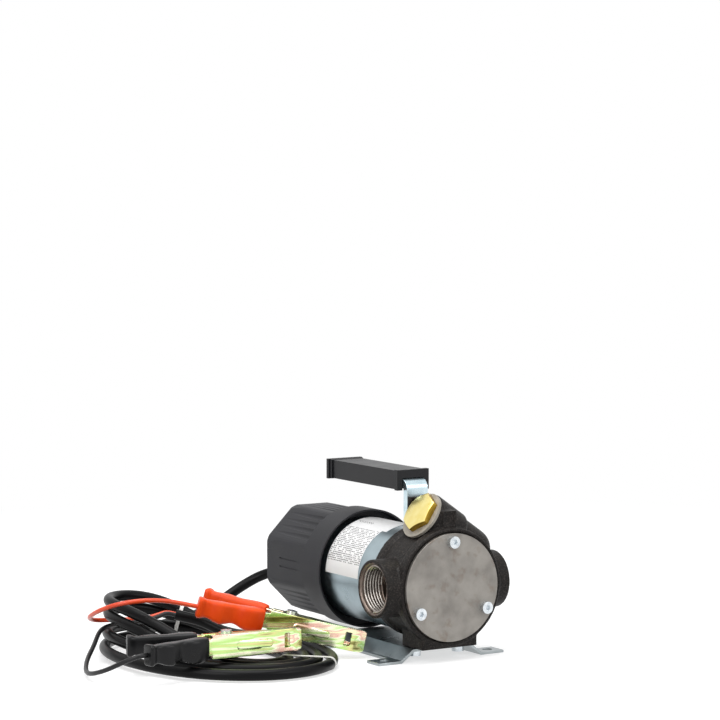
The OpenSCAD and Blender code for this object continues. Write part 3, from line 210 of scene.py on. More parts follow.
# colours are the two ends of a soft mottling; sizes and depths in mm, the rest as the shader takes it, with
# metallic 0 where it isn't named
finishes = {
    # sand-cast grey iron under thin black paint: dull, pitted, with paler grit showing through
    "castBlackPaint": {"colours": ("0F0D0C", "211E1C"), "roughness": 0.46, "spread": 0.1,
                       "blotch": 4, "grain": 1.6, "grainDepth": 0.25, "wave": 6, "waveDepth": 0.2,
                       "specular": 0.14, "sand": "3D3835"},
    # bare turned iron in the mouth of a port: brownish
    "machinedIron": {"colours": ("5E534C", "7C7068"), "metallic": 1.0, "roughness": 0.36, "spread": 0.08,
                     "blotch": 5, "grain": 0.5, "grainDepth": 0.006},
    # cut threads: grey and bright on the crests
    "cutThread": {"colours": ("98928C", "BAB5AF"), "metallic": 1.0, "roughness": 0.3, "spread": 0.05,
                  "blotch": 4, "grain": 0.5, "grainDepth": 0.004},
    # ground mild steel plate: dull grey-brown with stains and fine scratches
    "groundSteel": {"colours": ("7C7873", "9B9791"), "metallic": 0.75, "roughness": 0.5, "spread": 0.1,
                    "blotch": 13, "grain": 0.8, "grainDepth": 0.012, "rust": "6E5A4A"},
    # bright zinc plate on screws: cold silver
    "zincPlate": {"colours": ("BFC6CC", "E4E9EC"), "metallic": 1.0, "roughness": 0.26, "spread": 0.08,
                  "blotch": 3, "grain": 0.6, "grainDepth": 0.01},
    # blue-passivated flat bar: pale sky tint
    "zincBar": {"colours": ("B8D0DA", "E2F1F6"), "metallic": 1.0, "roughness": 0.28, "spread": 0.06,
                "blotch": 14, "grain": 1.0, "grainDepth": 0.003},
    # passivated sheet of the base: darker and satin
    "zincSheet": {"colours": ("858C8E", "AEB4B6"), "metallic": 1.0, "roughness": 0.32, "spread": 0.08,
                  "blotch": 18, "grain": 1.0, "grainDepth": 0.004},
    # rolled galvanised tube: satin with a faint blue cast
    "galvanisedTube": {"colours": ("8C9BA1", "AEBDC3"), "metallic": 1.0, "roughness": 0.32, "spread": 0.06,
                       "blotch": 20, "grain": 0.9, "grainDepth": 0.002},
    # moulded glass-filled nylon: charcoal with a fine spark-eroded skin
    "mouldedCap": {"colours": ("232326", "2B2B2F"), "roughness": 0.5, "spread": 0.05,
                   "blotch": 25, "grain": 0.7, "grainDepth": 0.025, "specular": 0.26},
    # nylon of the grip: darker and smoother, so it shines along its edges
    "mouldedGrip": {"colours": ("101013", "18181B"), "roughness": 0.38, "spread": 0.05,
                    "blotch": 20, "grain": 0.8, "grainDepth": 0.02, "specular": 0.28},
    # extruded PVC sheath: near black with long soft highlights
    "pvcSheath": {"colours": ("060607", "0B0B0C"), "roughness": 0.36, "spread": 0.05,
                  "blotch": 30, "grain": 1.4, "grainDepth": 0.02, "specular": 0.12},
    # thin insulation of the two leads: softer and a little glossier than the sheath
    "pvcBlackCore": {"colours": ("0C0C0D", "131315"), "roughness": 0.38, "spread": 0.06,
                     "blotch": 20, "grain": 1.0, "grainDepth": 0.01, "specular": 0.3},
    "pvcOrangeCore": {"colours": ("D8401A", "E6521F"), "roughness": 0.36, "spread": 0.05,
                      "blotch": 20, "grain": 1.0, "grainDepth": 0.01},
    # dip-moulded soft PVC handles: saturated and slightly waxy
    "softOrangeSleeve": {"colours": ("E04008", "F05214"), "roughness": 0.36, "spread": 0.06,
                         "blotch": 18, "grain": 1.2, "grainDepth": 0.02, "wave": 9, "waveDepth": 0.12,
                         "specular": 0.22},
    # the black sleeves show their finger curves by a broader sheen
    "softBlackSleeve": {"colours": ("09090A", "101012"), "roughness": 0.3, "spread": 0.06,
                        "blotch": 18, "grain": 1.2, "grainDepth": 0.02, "wave": 9, "waveDepth": 0.08,
                        "specular": 0.24},
    # nylon tie: milky white
    "whiteNylon": {"colours": ("E4E4DF", "F2F2EE"), "roughness": 0.4, "spread": 0.05,
                   "blotch": 10, "grain": 0.8, "grainDepth": 0.01},
    # pressed fibre and resin washer: cloudy grey-beige
    "resinWasher": {"colours": ("8F897E", "A8A297"), "roughness": 0.42, "spread": 0.08,
                    "blotch": 6, "grain": 0.8, "grainDepth": 0.01},
    "whiteVinyl": {"colours": ("ECECEC", "F4F4F4"), "roughness": 0.45, "spread": 0.03,
                   "blotch": 25, "grain": 1.0, "grainDepth": 0.004},
    "greyInk": {"colours": ("444446", "525254"), "roughness": 0.5, "spread": 0.03,
                "blotch": 5, "grain": 1.0, "grainDepth": 0.002},
    # turned and hardened steel of the inner pieces
    "turnedSteel": {"colours": ("8B8D91", "A9ABAE"), "metallic": 1.0, "roughness": 0.28, "spread": 0.06,
                    "blotch": 10, "grain": 0.5, "grainDepth": 0.006},
    # stacked sheets of the armature: fine lines across the shaft
    "stackedSteel": {"colours": ("6B6C70", "828388"), "metallic": 1.0, "roughness": 0.42, "spread": 0.08,
                     "blotch": 8, "grain": 0.6, "grainDepth": 0.02, "stretch": (0.1, 1, 0.1)},
    "springWire": {"colours": ("A7A9AD", "C9CBCE"), "metallic": 1.0, "roughness": 0.22, "spread": 0.05,
                   "blotch": 4, "grain": 0.5, "grainDepth": 0.004},
    # enamelled copper: deep orange with a varnish shine
    "enamelledCopper": {"colours": ("8E4A22", "A85E2E"), "metallic": 0.85, "roughness": 0.3, "spread": 0.08,
                        "blotch": 4, "grain": 0.7, "grainDepth": 0.05},
    "sinteredFerrite": {"colours": ("1F1F21", "2A2A2C"), "roughness": 0.55, "spread": 0.06,
                        "blotch": 6, "grain": 0.5, "grainDepth": 0.02},
    # filled plastic of the vanes: brownish and dense
    "mouldedVane": {"colours": ("2C2A28", "383634"), "roughness": 0.4, "spread": 0.06,
                    "blotch": 8, "grain": 0.5, "grainDepth": 0.008},
    "sealRubber": {"colours": ("111112", "1A1A1B"), "roughness": 0.55, "spread": 0.06,
                   "blotch": 8, "grain": 0.6, "grainDepth": 0.015},
    # brown phenolic board, slightly waxy
    "phenolicBoard": {"colours": ("4A2E1C", "5C3B25"), "roughness": 0.48, "spread": 0.06,
                      "blotch": 6, "grain": 0.5, "grainDepth": 0.015},
    # die-cast alloy: grey with a cloudy skin
    "dieCastAlloy": {"colours": ("8E9094", "A6A8AB"), "metallic": 1.0, "roughness": 0.46, "spread": 0.08,
                     "blotch": 10, "grain": 0.8, "grainDepth": 0.03},
    # pressed fibre: matt and felt-like
    "fibreGasket": {"colours": ("55493A", "665947"), "roughness": 0.8, "spread": 0.05,
                    "blotch": 3, "grain": 0.5, "grainDepth": 0.02},
    # polished switch frame and rocker: hard clear highlights
    "glossySwitch": {"colours": ("0D0D0E", "141416"), "roughness": 0.25, "spread": 0.04,
                     "blotch": 10, "grain": 0.8, "grainDepth": 0.005},
    "redRocker": {"colours": ("5A0A08", "6B0F0B"), "roughness": 0.28, "spread": 0.04,
                  "blotch": 8, "grain": 0.8, "grainDepth": 0.005},
}


def startMaterial(name):
    material = bpy.data.materials.new(name)
    material.use_nodes = True
    tree = material.node_tree
    where = addNode(tree, "ShaderNodeTexCoord").outputs["Object"]
    return material, tree, tree.nodes["Principled BSDF"], where


# spots over a base colour: size in mm, detail, strength, and the part of the noise that they take up
spots = {"rust": (7, 8, 0.42, 0.56, 0.72), "sand": (1.1, 2, 0.8, 0.52, 0.66)}


def makeFinish(name):
    look = finishes[name]
    material, tree, shader, where = startMaterial(name)
    blotch = noiseOf(tree, where, look["blotch"], 4, look.get("stretch"))
    base = blend(tree, spreadOf(tree, blotch, 0, 1), *look["colours"])
    for kind, (sizeMm, detail, strength, low, high) in spots.items():
        if kind in look:
            specks = noiseOf(tree, where, sizeMm, detail)
            base = blend(tree, spreadOf(tree, specks, 0, strength, low, high), base, look[kind])
    if "specular" in look:
        shader.inputs["Specular IOR Level"].default_value = look["specular"]
    rough = spreadOf(tree, blotch, look["roughness"] - look["spread"], look["roughness"] + look["spread"])
    heights = [(noiseOf(tree, where, look["grain"], 2, look.get("stretch")), look["grainDepth"])]
    if "wave" in look:
        heights.append((noiseOf(tree, where, look["wave"], 2), look["waveDepth"]))
    dress(tree, shader, base, rough, look.get("metallic", 0.0), heights)
    return material


chromate = {
    # sizes and depths in mm; the streaks and dents are stretched along the metal
    "streak": 5, "streakLong": (0.05, 1, 1), "dent": 9, "dentLong": (0.3, 1, 1), "dentDepth": 0.05,
    "grain": 1.2, "grainDepth": 0.004, "roughSize": 8, "roughness": (0.16, 0.28),
    # olive, straw, green, pale, pink, cream
    "stops": ((0.3, "85814A"), (0.39, "DAD694"), (0.45, "B8E086"),
              (0.53, "F7FAD8"), (0.61, "E6B2A4"), (0.69, "F1ECC2")),
}


def makeChromate(side, yaw):
    # yellow chromate over zinc on stamped sheet: straw, green and pink streaks along the metal
    material, tree, shader, where = startMaterial(side + "Chromate")
    alongClamp = addNode(tree, "ShaderNodeMapping",
                         {"vector_type": "TEXTURE", "Rotation": (0, 0, math.radians(yaw))},
                         {"Vector": where}).outputs[0]
    bands = noiseOf(tree, alongClamp, chromate["streak"], 2, chromate["streakLong"])
    ramp = addNode(tree, "ShaderNodeValToRGB", {}, {0: bands})
    stops = chromate["stops"]
    while len(ramp.color_ramp.elements) < len(stops):
        ramp.color_ramp.elements.new(0.5)
    for element, (place, hexText) in zip(ramp.color_ramp.elements, stops):
        element.position = place
        element.color = colour(hexText)
    rough = spreadOf(tree, noiseOf(tree, where, chromate["roughSize"], 3), *chromate["roughness"])
    dents = noiseOf(tree, alongClamp, chromate["dent"], 2, chromate["dentLong"])
    grain = noiseOf(tree, where, chromate["grain"], 2)
    heights = [(dents, chromate["dentDepth"]), (grain, chromate["grainDepth"])]
    dress(tree, shader, ramp.outputs[0], rough, 1.0, heights)
    return material


# the barrel of the bypass valve: its tilt in degrees, height over the shaft, place behind the cover face and
# the piston's lift in mm, and the cosine above which a face of the cap looks along the axis
valve = {"tilt": 34.8, "rise": 42.9, "portY": 23.2, "lift": 3, "faceWithin": 0.8}
# rings and blotches in mm; deep and pale colour and least roughness of the cap's face and of its duller
# flats, whose darker colour is painted shade
brass = {"ring": 1.6, "ringDepth": 0.0015, "wobble": 0.4, "blotch": 7, "roughSpread": 0.04,
         "looks": {"turnedBrass": ("F0DC84", "F9EAA2", 0.27), "shadedBrassFlats": ("9A7D2C", "B39540", 0.34)}}


def valveHub(s=0.0):
    # a point on the barrel's axis, s mm out from above the shaft
    a = math.radians(valve["tilt"])
    return Vector((-math.cos(a) * s, valve["portY"] - pumpBack,
                   shaftHeight + valve["rise"] + math.sin(a) * s)) * mm


def makeBrass(name):
    # brass with fine rings round the barrel's axis
    deep, pale, roughness = brass["looks"][name]
    material, tree, shader, where = startMaterial(name)
    lean = (0, math.radians(valve["tilt"] - 90), 0)
    turned = addNode(tree, "ShaderNodeMapping",
                     {"vector_type": "TEXTURE", "Location": valveHub(), "Rotation": lean},
                     {"Vector": where}).outputs[0]
    # a ring is about a third of a texture unit
    wave = {"wave_type": "RINGS", "rings_direction": "Z", "Scale": 1000 / brass["ring"] / 3,
            "Distortion": brass["wobble"], "Detail": 1.0}
    rings = addNode(tree, "ShaderNodeTexWave", wave, {"Vector": turned}).outputs["Fac"]
    blotch = noiseOf(tree, where, brass["blotch"], 3)
    base = blend(tree, spreadOf(tree, blotch, 0, 1), deep, pale)
    rough = spreadOf(tree, blotch, roughness, roughness + brass["roughSpread"])
    dress(tree, shader, base, rough, 1.0, [(rings, brass["ringDepth"])])
    return material


# place of each clamp's pin in mm, and its dip and turn in degrees
clamps = {
    "red": {"at": (-86.6, 17, 23.9), "dip": 13, "yaw": -35.7},
    "black": {"at": (-156, -17, 21.1), "dip": 0, "yaw": -7},
}

materials = {name: makeFinish(name) for name in finishes}
for side, clamp in clamps.items():
    materials[side + "Chromate"] = makeChromate(side, clamp["yaw"])
for name in brass["looks"]:
    materials[name] = makeBrass(name)
print("materials ready:", len(materials))

# finish of every CAD node that keeps its own mesh
nodeFinish = {
    "pump_body": "castBlackPaint", "front_cover": "groundSteel", "cover_gasket": "fibreGasket",
    "cover_screws": "zincPlate", "vane_rotor": "turnedSteel", "motor_shaft": "turnedSteel",
    "shaft_seal": "sealRubber", "front_bearing": "turnedSteel", "rear_bearing": "turnedSteel",
    "motor_tube": "galvanisedTube", "field_magnets": "sinteredFerrite", "armature_core": "stackedSteel",
    "armature_windings": "enamelledCopper", "commutator": "enamelledCopper",
    "brush_holder": "phenolicBoard", "carbon_brushes": "sinteredFerrite", "brush_springs": "springWire",
    "rear_shield": "dieCastAlloy", "tie_bolts": "zincPlate", "motor_cap": "mouldedCap",
    "cap_screws": "zincPlate", "cable_gland": "sealRubber", "switch_housing": "glossySwitch",
    "switch_rocker": "redRocker", "bypass_cap": "turnedBrass", "bypass_washer": "resinWasher",
    "bypass_piston": "turnedBrass", "bypass_spring": "springWire", "handle_bracket": "zincBar",
    "handle_grip": "mouldedGrip", "handle_screws": "zincPlate", "base_plate": "zincSheet",
    "base_screws": "zincPlate", "rating_label": "whiteVinyl", "supply_cable": "pvcSheath",
    "cable_coil": "pvcSheath", "cable_tail": "pvcSheath", "red_lead": "pvcOrangeCore",
    "black_lead": "pvcBlackCore", "cable_ties": "whiteNylon",
}
for i in range(1, 6):   # the five vanes
    nodeFinish["vane_%d" % i] = "mouldedVane"
for side, sleeve in (("red", "softOrangeSleeve"), ("black", "softBlackSleeve")):
    for part, finish in (("jaw", side + "Chromate"), ("lever", side + "Chromate"), ("pin", "zincPlate"),
                         ("spring", "springWire"), ("sleeve", sleeve), ("lever_sleeve", sleeve)):
        nodeFinish[side + "_clamp_" + part] = finish
for name, finish in nodeFinish.items():
    for place in nodes[name].material_slots:
        place.material = materials[finish]
print("nodes finished:", len(nodeFinish))

# half a clamp in mm from its pin: the lever's bend and its run outwards and back, its width, the sleeve's
# wall and fit, the jaw's length, how its tip is rounded and half the width of each jaw's sheet
lever = {"bend": 14, "out": 22, "long": 62, "near": 10.5, "width": 11, "wall": 1.6, "fit": 0.2,
         "jaw": 55, "tipRound": 3, "tipLeast": 0.09, "jawHalf": 8, "leverHalf": 6.2}

# pieces with worn edges: bevelled ones keep their flats, rounded ones are remeshed and softened
edges = {
    "steps": 3, "angle": 32, "smoothing": 0.5,
    "merge": 0.001, "flat": 0.02,   # mm between points and radians between faces that become one
    # node, piece, edge radius in mm, finish, body, slot
    "bevelled": [
        ("handle_grip", "handleGrip", 1.3, "mouldedGrip", "pump", "grip_plastic"),
        ("handle_bracket", "handleBar", 0.5, "zincBar", "pump", "zinc_bar"),
        ("base_plate", "basePlate", 0.35, "zincSheet", "pump", "base_zinc"),
        ("front_cover", "coverPlate", 0.35, "groundSteel", "pump", "cover_steel"),
        ("bypass_cap", "brassCap", 0.25, "turnedBrass", "pump", "brass"),
    ],
    # node, piece, grain of the remesh in mm, rounds of smoothing, finish, body, slot
    "rounded": [
        ("pump_body", "casting", 0.8, 5, "castBlackPaint", "pump", "black_iron"),
        ("red_clamp_jaw", "redJaw", 0.34, 6, "redChromate", "pump", "chromate"),
        ("red_clamp_lever", "redMovingJaw", 0.34, 6, "redChromate", "red_lever", "chromate"),
        ("black_clamp_jaw", "blackJaw", 0.34, 6, "blackChromate", "pump", "chromate"),
        ("black_clamp_lever", "blackMovingJaw", 0.34, 6, "blackChromate", "black_lever", "chromate"),
    ],
}


def bareCopy(name):
    # a node's mesh in place, merged into closed shells of flat and curved faces
    source = nodes[name]
    mesh = bpy.data.meshes.new(name + "Copy")
    mesh.from_pydata([source.matrix_world @ v.co for v in source.data.vertices], [],
                     [tuple(face.vertices) for face in source.data.polygons])
    bm = bmesh.new()
    bm.from_mesh(mesh)
    bmesh.ops.remove_doubles(bm, verts=bm.verts, dist=edges["merge"] * mm)
    bmesh.ops.dissolve_limit(bm, angle_limit=edges["flat"], verts=bm.verts, edges=bm.edges)
    bmesh.ops.recalc_face_normals(bm, faces=bm.faces)
    bm.to_mesh(mesh)
    bm.free()
    return mesh


def taken(holder):
    # what the modifiers make of the holder, which goes
    mesh = bpy.data.meshes.new_from_object(holder.evaluated_get(bpy.context.evaluated_depsgraph_get()))
    bpy.data.objects.remove(holder)
    return mesh


def reshaped(mesh, steps):
    # the mesh after a row of modifiers
    holder = linkObject("holder", mesh)
    for kind, settings in steps:
        modifier = holder.modifiers.new(kind, kind)
        for key, value in settings.items():
            setattr(modifier, key, value)
    return taken(holder)


def bevelled(mesh, radius, steps, angle, harden=False):
    # rounds the edges between faces that turn by more than the angle, radius in mm
    return reshaped(mesh, [("BEVEL", {"width": radius * mm, "segments": steps, "limit_method": "ANGLE",
                                      "angle_limit": math.radians(angle), "harden_normals": harden})])


def coat(mesh, *names):
    mesh.materials.clear()
    for name in names:
        mesh.materials.append(materials[name])


def declare(piece, body, slot, *replaced):
    if replaced:
        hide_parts(*replaced)
    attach(piece, body)
    return piece


def makeBevelled():
    for node, name, radius, finish, body, slot in edges["bevelled"]:
        mesh = bareCopy(node)
        mesh.polygons.foreach_set("use_smooth", [True] * len(mesh.polygons))
        mesh = bevelled(mesh, radius, edges["steps"], edges["angle"], True)
        coat(mesh, finish)
        if node == "bypass_cap":
            # the face that looks along the barrel keeps the pale brass; the flats get a darker, duller brass
            # as painted shade
            coat(mesh, finish, "shadedBrassFlats")
            axis = (valveHub(1) - valveHub()).normalized()
            for face in mesh.polygons:
                face.material_index = 0 if abs(face.normal.dot(axis)) > valve["faceWithin"] else 1
        declare(linkObject(name, mesh), body, slot, node)


def makeRounded():
    for node, name, grain, rounds, finish, body, slot in edges["rounded"]:
        mesh = reshaped(bareCopy(node), [
            ("REMESH", {"mode": "VOXEL", "voxel_size": grain * mm, "use_smooth_shade": True}),
            ("SMOOTH", {"factor": edges["smoothing"], "iterations": rounds}),
        ])
        coat(mesh, finish)
        if node == "pump_body":
            coat(mesh, finish, "machinedIron")
            barePorts(mesh)
            clearChamber(mesh)
        if slot == "chromate":
            half = lever["jawHalf"] if node.endswith("jaw") else lever["leverHalf"]
            roundTip(mesh, node.split("_")[0], half)
        declare(linkObject(name, mesh), body, slot, node)


# both ports in mm: where they lie, what is turned bare, and the thread's ridge with its points to a turn
port = {"y": 23.2, "reach": 50.9, "faceRadius": 18.2, "threadRadius": 16.6, "boreFrom": 31, "skin": 1,
        "rim": 0.5, "pitch": 2.309, "ridge": 1.05, "sunk": 0.25, "from": 33.6, "to": 49.2,
        "perTurn": 40, "sides": 10}


def barePorts(mesh):
    # the mouths and bores of the ports are turned bare metal
    skinRadius = port["threadRadius"] + port["skin"]
    for face in mesh.polygons:
        x, y, z = face.center / mm
        away = math.hypot(y + pumpBack - port["y"], z - shaftHeight)
        mouth = away < port["faceRadius"] and abs(x) > port["reach"] - port["rim"]
        if mouth or away < skinRadius and abs(x) > port["boreFrom"]:
            face.material_index = 1


# the pump chamber in mm: its place and size, the room round it and the reach of its softened corner
chamber = {"front": 5.5, "back": 30.5, "radius": 25, "lift": 3, "room": 0.06, "corner": 1.6}


def clearChamber(mesh):
    # draws the softened wall of the pump chamber back to its bore, out of the vanes' way
    axis = shaftHeight + chamber["lift"]
    bore, back = chamber["radius"] + chamber["room"], chamber["back"] + chamber["room"]
    for vertex in mesh.vertices:
        x, y, z = vertex.co / mm
        y += pumpBack
        away = math.hypot(x, z - axis)
        if away < bore and chamber["front"] < y < back:
            if away > chamber["radius"] - chamber["corner"]:
                x, z = x * bore / away, axis + (z - axis) * bore / away
            if y > chamber["back"] - chamber["corner"]:
                y = back
            vertex.co = Vector((x, y - pumpBack, z)) * mm
    mesh.update()


def clampTurn(side):
    yaw, dip = math.radians(clamps[side]["yaw"]), math.radians(clamps[side]["dip"])
    return Matrix.Rotation(yaw, 4, "Z") @ Matrix.Rotation(dip, 4, "Y")


def clampFrame(side):
    # from a clamp's own frame, X along its jaws from the pin, to the part's
    return Matrix.Translation(Vector(clamps[side]["at"])) @ clampTurn(side)


def roundTip(mesh, side, halfWidth):
    # draws in the two corners of the sheet at the jaw's tip
    frameOf = clampFrame(side)
    back, r = frameOf.inverted(), lever["tipRound"]
    for vertex in mesh.vertices:
        p = back @ (vertex.co / mm)
        over = p.x - (lever["jaw"] - r)
        if over > 0:
            widest = halfWidth - r + math.sqrt(max(r * r - over * over, lever["tipLeast"]))
            p.z *= widest / halfWidth
            vertex.co = (frameOf @ p) * mm
    mesh.update()


# a sleeve: its start as a share of its length, the form and count of its sections, its rim in mm and degrees
sleeve = {"from": 0.07, "squareness": 0.4, "sections": 56, "around": 32,
          "rim": 0.7, "rimSteps": 3, "rimAngle": 60}
# stations along a sleeve: share of its length from the metal, above, below, outwards, inwards in mm
sleeveShape = [
    (0.0, 7.0, 6.8, 1.9, 6.9), (0.03, 7.3, 7.6, 2.6, 7.1), (0.1, 7.5, 8.8, 3.9, 7.2),
    (0.2, 7.4, 9.4, 4.7, 7.1), (0.31, 7.1, 8.7, 3.9, 6.8), (0.41, 6.8, 7.0, 2.0, 6.6),
    (0.48, 6.7, 6.8, 1.9, 6.5), (0.56, 6.7, 7.8, 3.2, 6.6), (0.64, 6.8, 8.5, 4.2, 6.7),
    (0.74, 6.6, 7.7, 3.2, 6.5), (0.82, 6.3, 6.4, 1.8, 6.3), (0.89, 6.3, 6.3, 1.8, 6.3),
    (0.93, 7.0, 7.0, 2.8, 6.8), (0.97, 7.3, 7.3, 3.2, 7.0), (1.0, 7.0, 7.0, 2.7, 6.7),
]


def between(a, b, c, d, u):
    # the smooth curve from b to c at a share u of the way
    return 0.5 * (2 * b + (c - a) * u + (2 * a - 5 * b + 4 * c - d) * u * u
                  + (3 * b - 3 * c + d - a) * u * u * u)


def shapeAt(u):
    # the sleeve's four reaches at a share of its length, smooth through the stations
    k = max(i for i in range(len(sleeveShape) - 1) if sleeveShape[i][0] <= u)
    a, b = sleeveShape[max(k - 1, 0)], sleeveShape[k]
    c, d = sleeveShape[k + 1], sleeveShape[min(k + 2, len(sleeveShape) - 1)]
    v = (u - b[0]) / (c[0] - b[0])
    return [between(a[i], b[i], c[i], d[i], v) for i in range(1, 5)]


def leverRun():
    # a lever's slope, and its length from the bend to the sleeve's end
    angle = math.atan2(lever["out"] - lever["near"], lever["long"] - lever["bend"])
    return angle, (lever["long"] - lever["bend"]) / math.cos(angle) + lever["wall"] + lever["fit"]


def sleeveMesh(side, far):
    # soft sleeve lofted over a lever, from rounded sections
    angle, long = leverRun()
    sections, around, square = sleeve["sections"], sleeve["around"], sleeve["squareness"]
    place = clampFrame(side) @ Matrix.Diagonal((1, -1 if far else 1, 1, 1))
    place = place @ Matrix.Translation((-lever["bend"], -lever["near"], 0)) @ Matrix.Rotation(angle, 4, "Z")
    points = []
    for i in range(sections + 1):
        u = i / sections
        above, below, outwards, inwards = shapeAt(u)
        s = sleeve["from"] + (1 - sleeve["from"]) * u
        for k in range(around):
            a = 2 * math.pi * k / around
            across = math.copysign(abs(math.cos(a)) ** square, math.cos(a))
            high = math.copysign(abs(math.sin(a)) ** square, math.sin(a))
            y = (inwards - outwards) / 2 + across * (inwards + outwards) / 2
            z = (above - below) / 2 + high * (above + below) / 2
            points.append(place @ Vector((-long * s, y, z)) * mm)
    walls = []
    for i in range(sections):
        for k in range(around):
            n = (k + 1) % around
            walls.append((i * around + k, i * around + n, (i + 1) * around + n, (i + 1) * around + k))
    ends = [tuple(range(around)), tuple(sections * around + k for k in range(around))]
    mesh = bpy.data.meshes.new(side + "SleeveLoft")
    mesh.from_pydata(points, [], walls + ends)
    faceOutwards(mesh)
    mesh = bevelled(mesh, sleeve["rim"], sleeve["rimSteps"], sleeve["rimAngle"])
    smoothByAngle(mesh, sleeve["rimAngle"])
    return mesh


def makeSleeves():
    for side, finish, slot in (("red", "softOrangeSleeve", "orange_sleeve"),
                               ("black", "softBlackSleeve", "black_sleeve")):
        for far, name, node, body in ((False, "Sleeve", "_clamp_sleeve", "pump"),
                                      (True, "MovingSleeve", "_clamp_lever_sleeve", side + "_lever")):
            mesh = sleeveMesh(side, far)
            coat(mesh, finish)
            declare(linkObject(side + name, mesh), body, slot, side + node)


def makeValveSpring(slot):
    # a smooth-shaded copy of the bypass spring, with a mesh of its own
    mesh = bareCopy("bypass_spring")
    smoothByAngle(mesh, roundSmooth)
    coat(mesh, "springWire")
    piece = declare(linkObject("valveSpring", mesh), "pump", slot, "bypass_spring")
    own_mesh(piece)


def startTree(name, inputs, result):
    # a Geometry Nodes tree with named inputs of each kind and one geometry that comes out
    tree = bpy.data.node_groups.new(name, "GeometryNodeTree")
    for kind, names in inputs.items():
        for each in names:
            tree.interface.new_socket(each, in_out="INPUT", socket_type="NodeSocket" + kind)
    tree.interface.new_socket(result, in_out="OUTPUT", socket_type="NodeSocketGeometry")
    return tree, addNode(tree, "NodeGroupInput").outputs


def endTree(tree, shape, finish, result):
    solid = addNode(tree, "GeometryNodeRealizeInstances", {}, {"Geometry": shape})
    painted = addNode(tree, "GeometryNodeSetMaterial", {}, {"Geometry": solid.outputs[0], "Material": finish})
    addNode(tree, "NodeGroupOutput", {}, {result: painted.outputs[0]})
    return tree


def sweepTree():
    # a round sheath swept along a line
    tree, given = startTree("sheathAlongLine", {"Geometry": ["Line"], "Float": ["Radius"], "Int": ["Sides"],
                                                "Material": ["Finish"]}, "Sheath")
    ring = addNode(tree, "GeometryNodeCurvePrimitiveCircle", {},
                   {"Radius": given["Radius"], "Resolution": given["Sides"]})
    tube = addNode(tree, "GeometryNodeCurveToMesh", {"Fill Caps": True},
                   {"Curve": given["Line"], "Profile Curve": ring.outputs[0]})
    return endTree(tree, tube.outputs[0], given["Finish"], "Sheath")


def runTree(holder, tree, values):
    modifier = holder.modifiers.new("made", "NODES")
    modifier.node_group = tree
    for item in tree.interface.items_tree:
        if item.in_out == "INPUT" and item.name in values:
            modifier[item.identifier] = values[item.name]
    return taken(holder)


def smoothByAngle(mesh, degrees):
    mesh.polygons.foreach_set("use_smooth", [True] * len(mesh.polygons))
    mesh.set_sharp_from_angle(angle=math.radians(degrees))
    mesh.update()


def faceOutwards(mesh):
    bm = bmesh.new()
    bm.from_mesh(mesh)
    bmesh.ops.remove_doubles(bm, verts=bm.verts, dist=edges["merge"] * mm)
    bmesh.ops.recalc_face_normals(bm, faces=bm.faces)
    bm.to_mesh(mesh)
    bm.free()


sheathTree = sweepTree()
roundSmooth = 50   # degrees between faces up to which wires and sheaths shade smooth


def sheathPiece(name, points, diameter, sides, finish):
    # a round sheath along points in mm, made by the node tree above
    curve = bpy.data.curves.new(name + "Line", "CURVE")
    curve.dimensions = "3D"
    spline = curve.splines.new("POLY")
    spline.points.add(len(points) - 1)
    for place, point in zip(spline.points, points):
        place.co = (*(point * mm), 1)
    holder = linkObject(name + "Line", curve)
    mesh = runTree(holder, sheathTree,
                   {"Radius": diameter / 2 * mm, "Sides": sides, "Finish": materials[finish]})
    faceOutwards(mesh)
    smoothByAngle(mesh, roundSmooth)
    return linkObject(name, mesh)


# mm behind the cover face, and from the shaft up to its middle; its own size, and its worn edge
pad = {"front": 4.6, "height": 47.3, "wide": 11.5, "high": 12, "rim": 1.5, "proud": 0.5, "deep": 1.2,
       "edge": 0.3, "edgeSteps": 2, "edgeAngle": 30, "smooth": 40}


def makePad():
    # raised frame of the bare pad on the valve barrel
    front, low, rim = pad["front"] - pumpBack, shaftHeight + pad["height"] - pad["high"] / 2, pad["rim"]
    half, high = pad["wide"] / 2, low + pad["high"]
    outer = [(-half, low), (half, low), (half, high), (-half, high)]
    inner = [(x - math.copysign(rim, x), z + (rim if z == low else -rim)) for x, z in outer]
    points = [Vector((x, y, z)) * mm
              for y in (front - pad["proud"], front + pad["deep"]) for x, z in outer + inner]
    faces = []
    for k in range(4):
        n = (k + 1) % 4
        faces += [(k, n, n + 4, k + 4), (k + 8, k + 12, n + 12, n + 8),
                  (k, k + 8, n + 8, n), (k + 4, n + 4, n + 12, k + 12)]
    mesh = bpy.data.meshes.new("padFrame")
    mesh.from_pydata(points, [], faces)
    faceOutwards(mesh)
    mesh = bevelled(mesh, pad["edge"], pad["edgeSteps"], pad["edgeAngle"])
    smoothByAngle(mesh, pad["smooth"])
    coat(mesh, "castBlackPaint")
    declare(linkObject("padFrame", mesh), "pump", "black_iron")


def makeThreads():
    # one helical ridge in each port
    for side, sign in (("left", -1), ("right", 1)):
        turns = (port["to"] - port["from"]) / port["pitch"]
        count = round(turns * port["perTurn"])
        r = port["threadRadius"] - port["sunk"]
        line = []
        for i in range(count + 1):
            a = 2 * math.pi * turns * i / count
            line.append(Vector((sign * (port["from"] + (port["to"] - port["from"]) * i / count),
                                port["y"] - pumpBack + r * math.cos(a), shaftHeight + r * math.sin(a))))
        piece = sheathPiece(side + "PortThread", line, 2 * port["ridge"], port["sides"], "cutThread")
        declare(piece, "pump", "black_iron")


label = {
    # rows of dashes run along the tube: turns in degrees from the side, places in mm from the cover face
    "radius": 37.75, "rows": 21, "rowGap": 1.45, "rowsFrom": 16, "from": 66.6, "to": 107.6, "seed": 4,
    "cell": 2.05, "dashHeight": 0.62, "thick": 0.03, "kept": 0.82, "shortest": 0.55, "longest": 0.97,
    "stripRows": 2, "stripFrom": 72, "stripStart": 88, "stripTo": 106, "stripKept": 0.9,
}


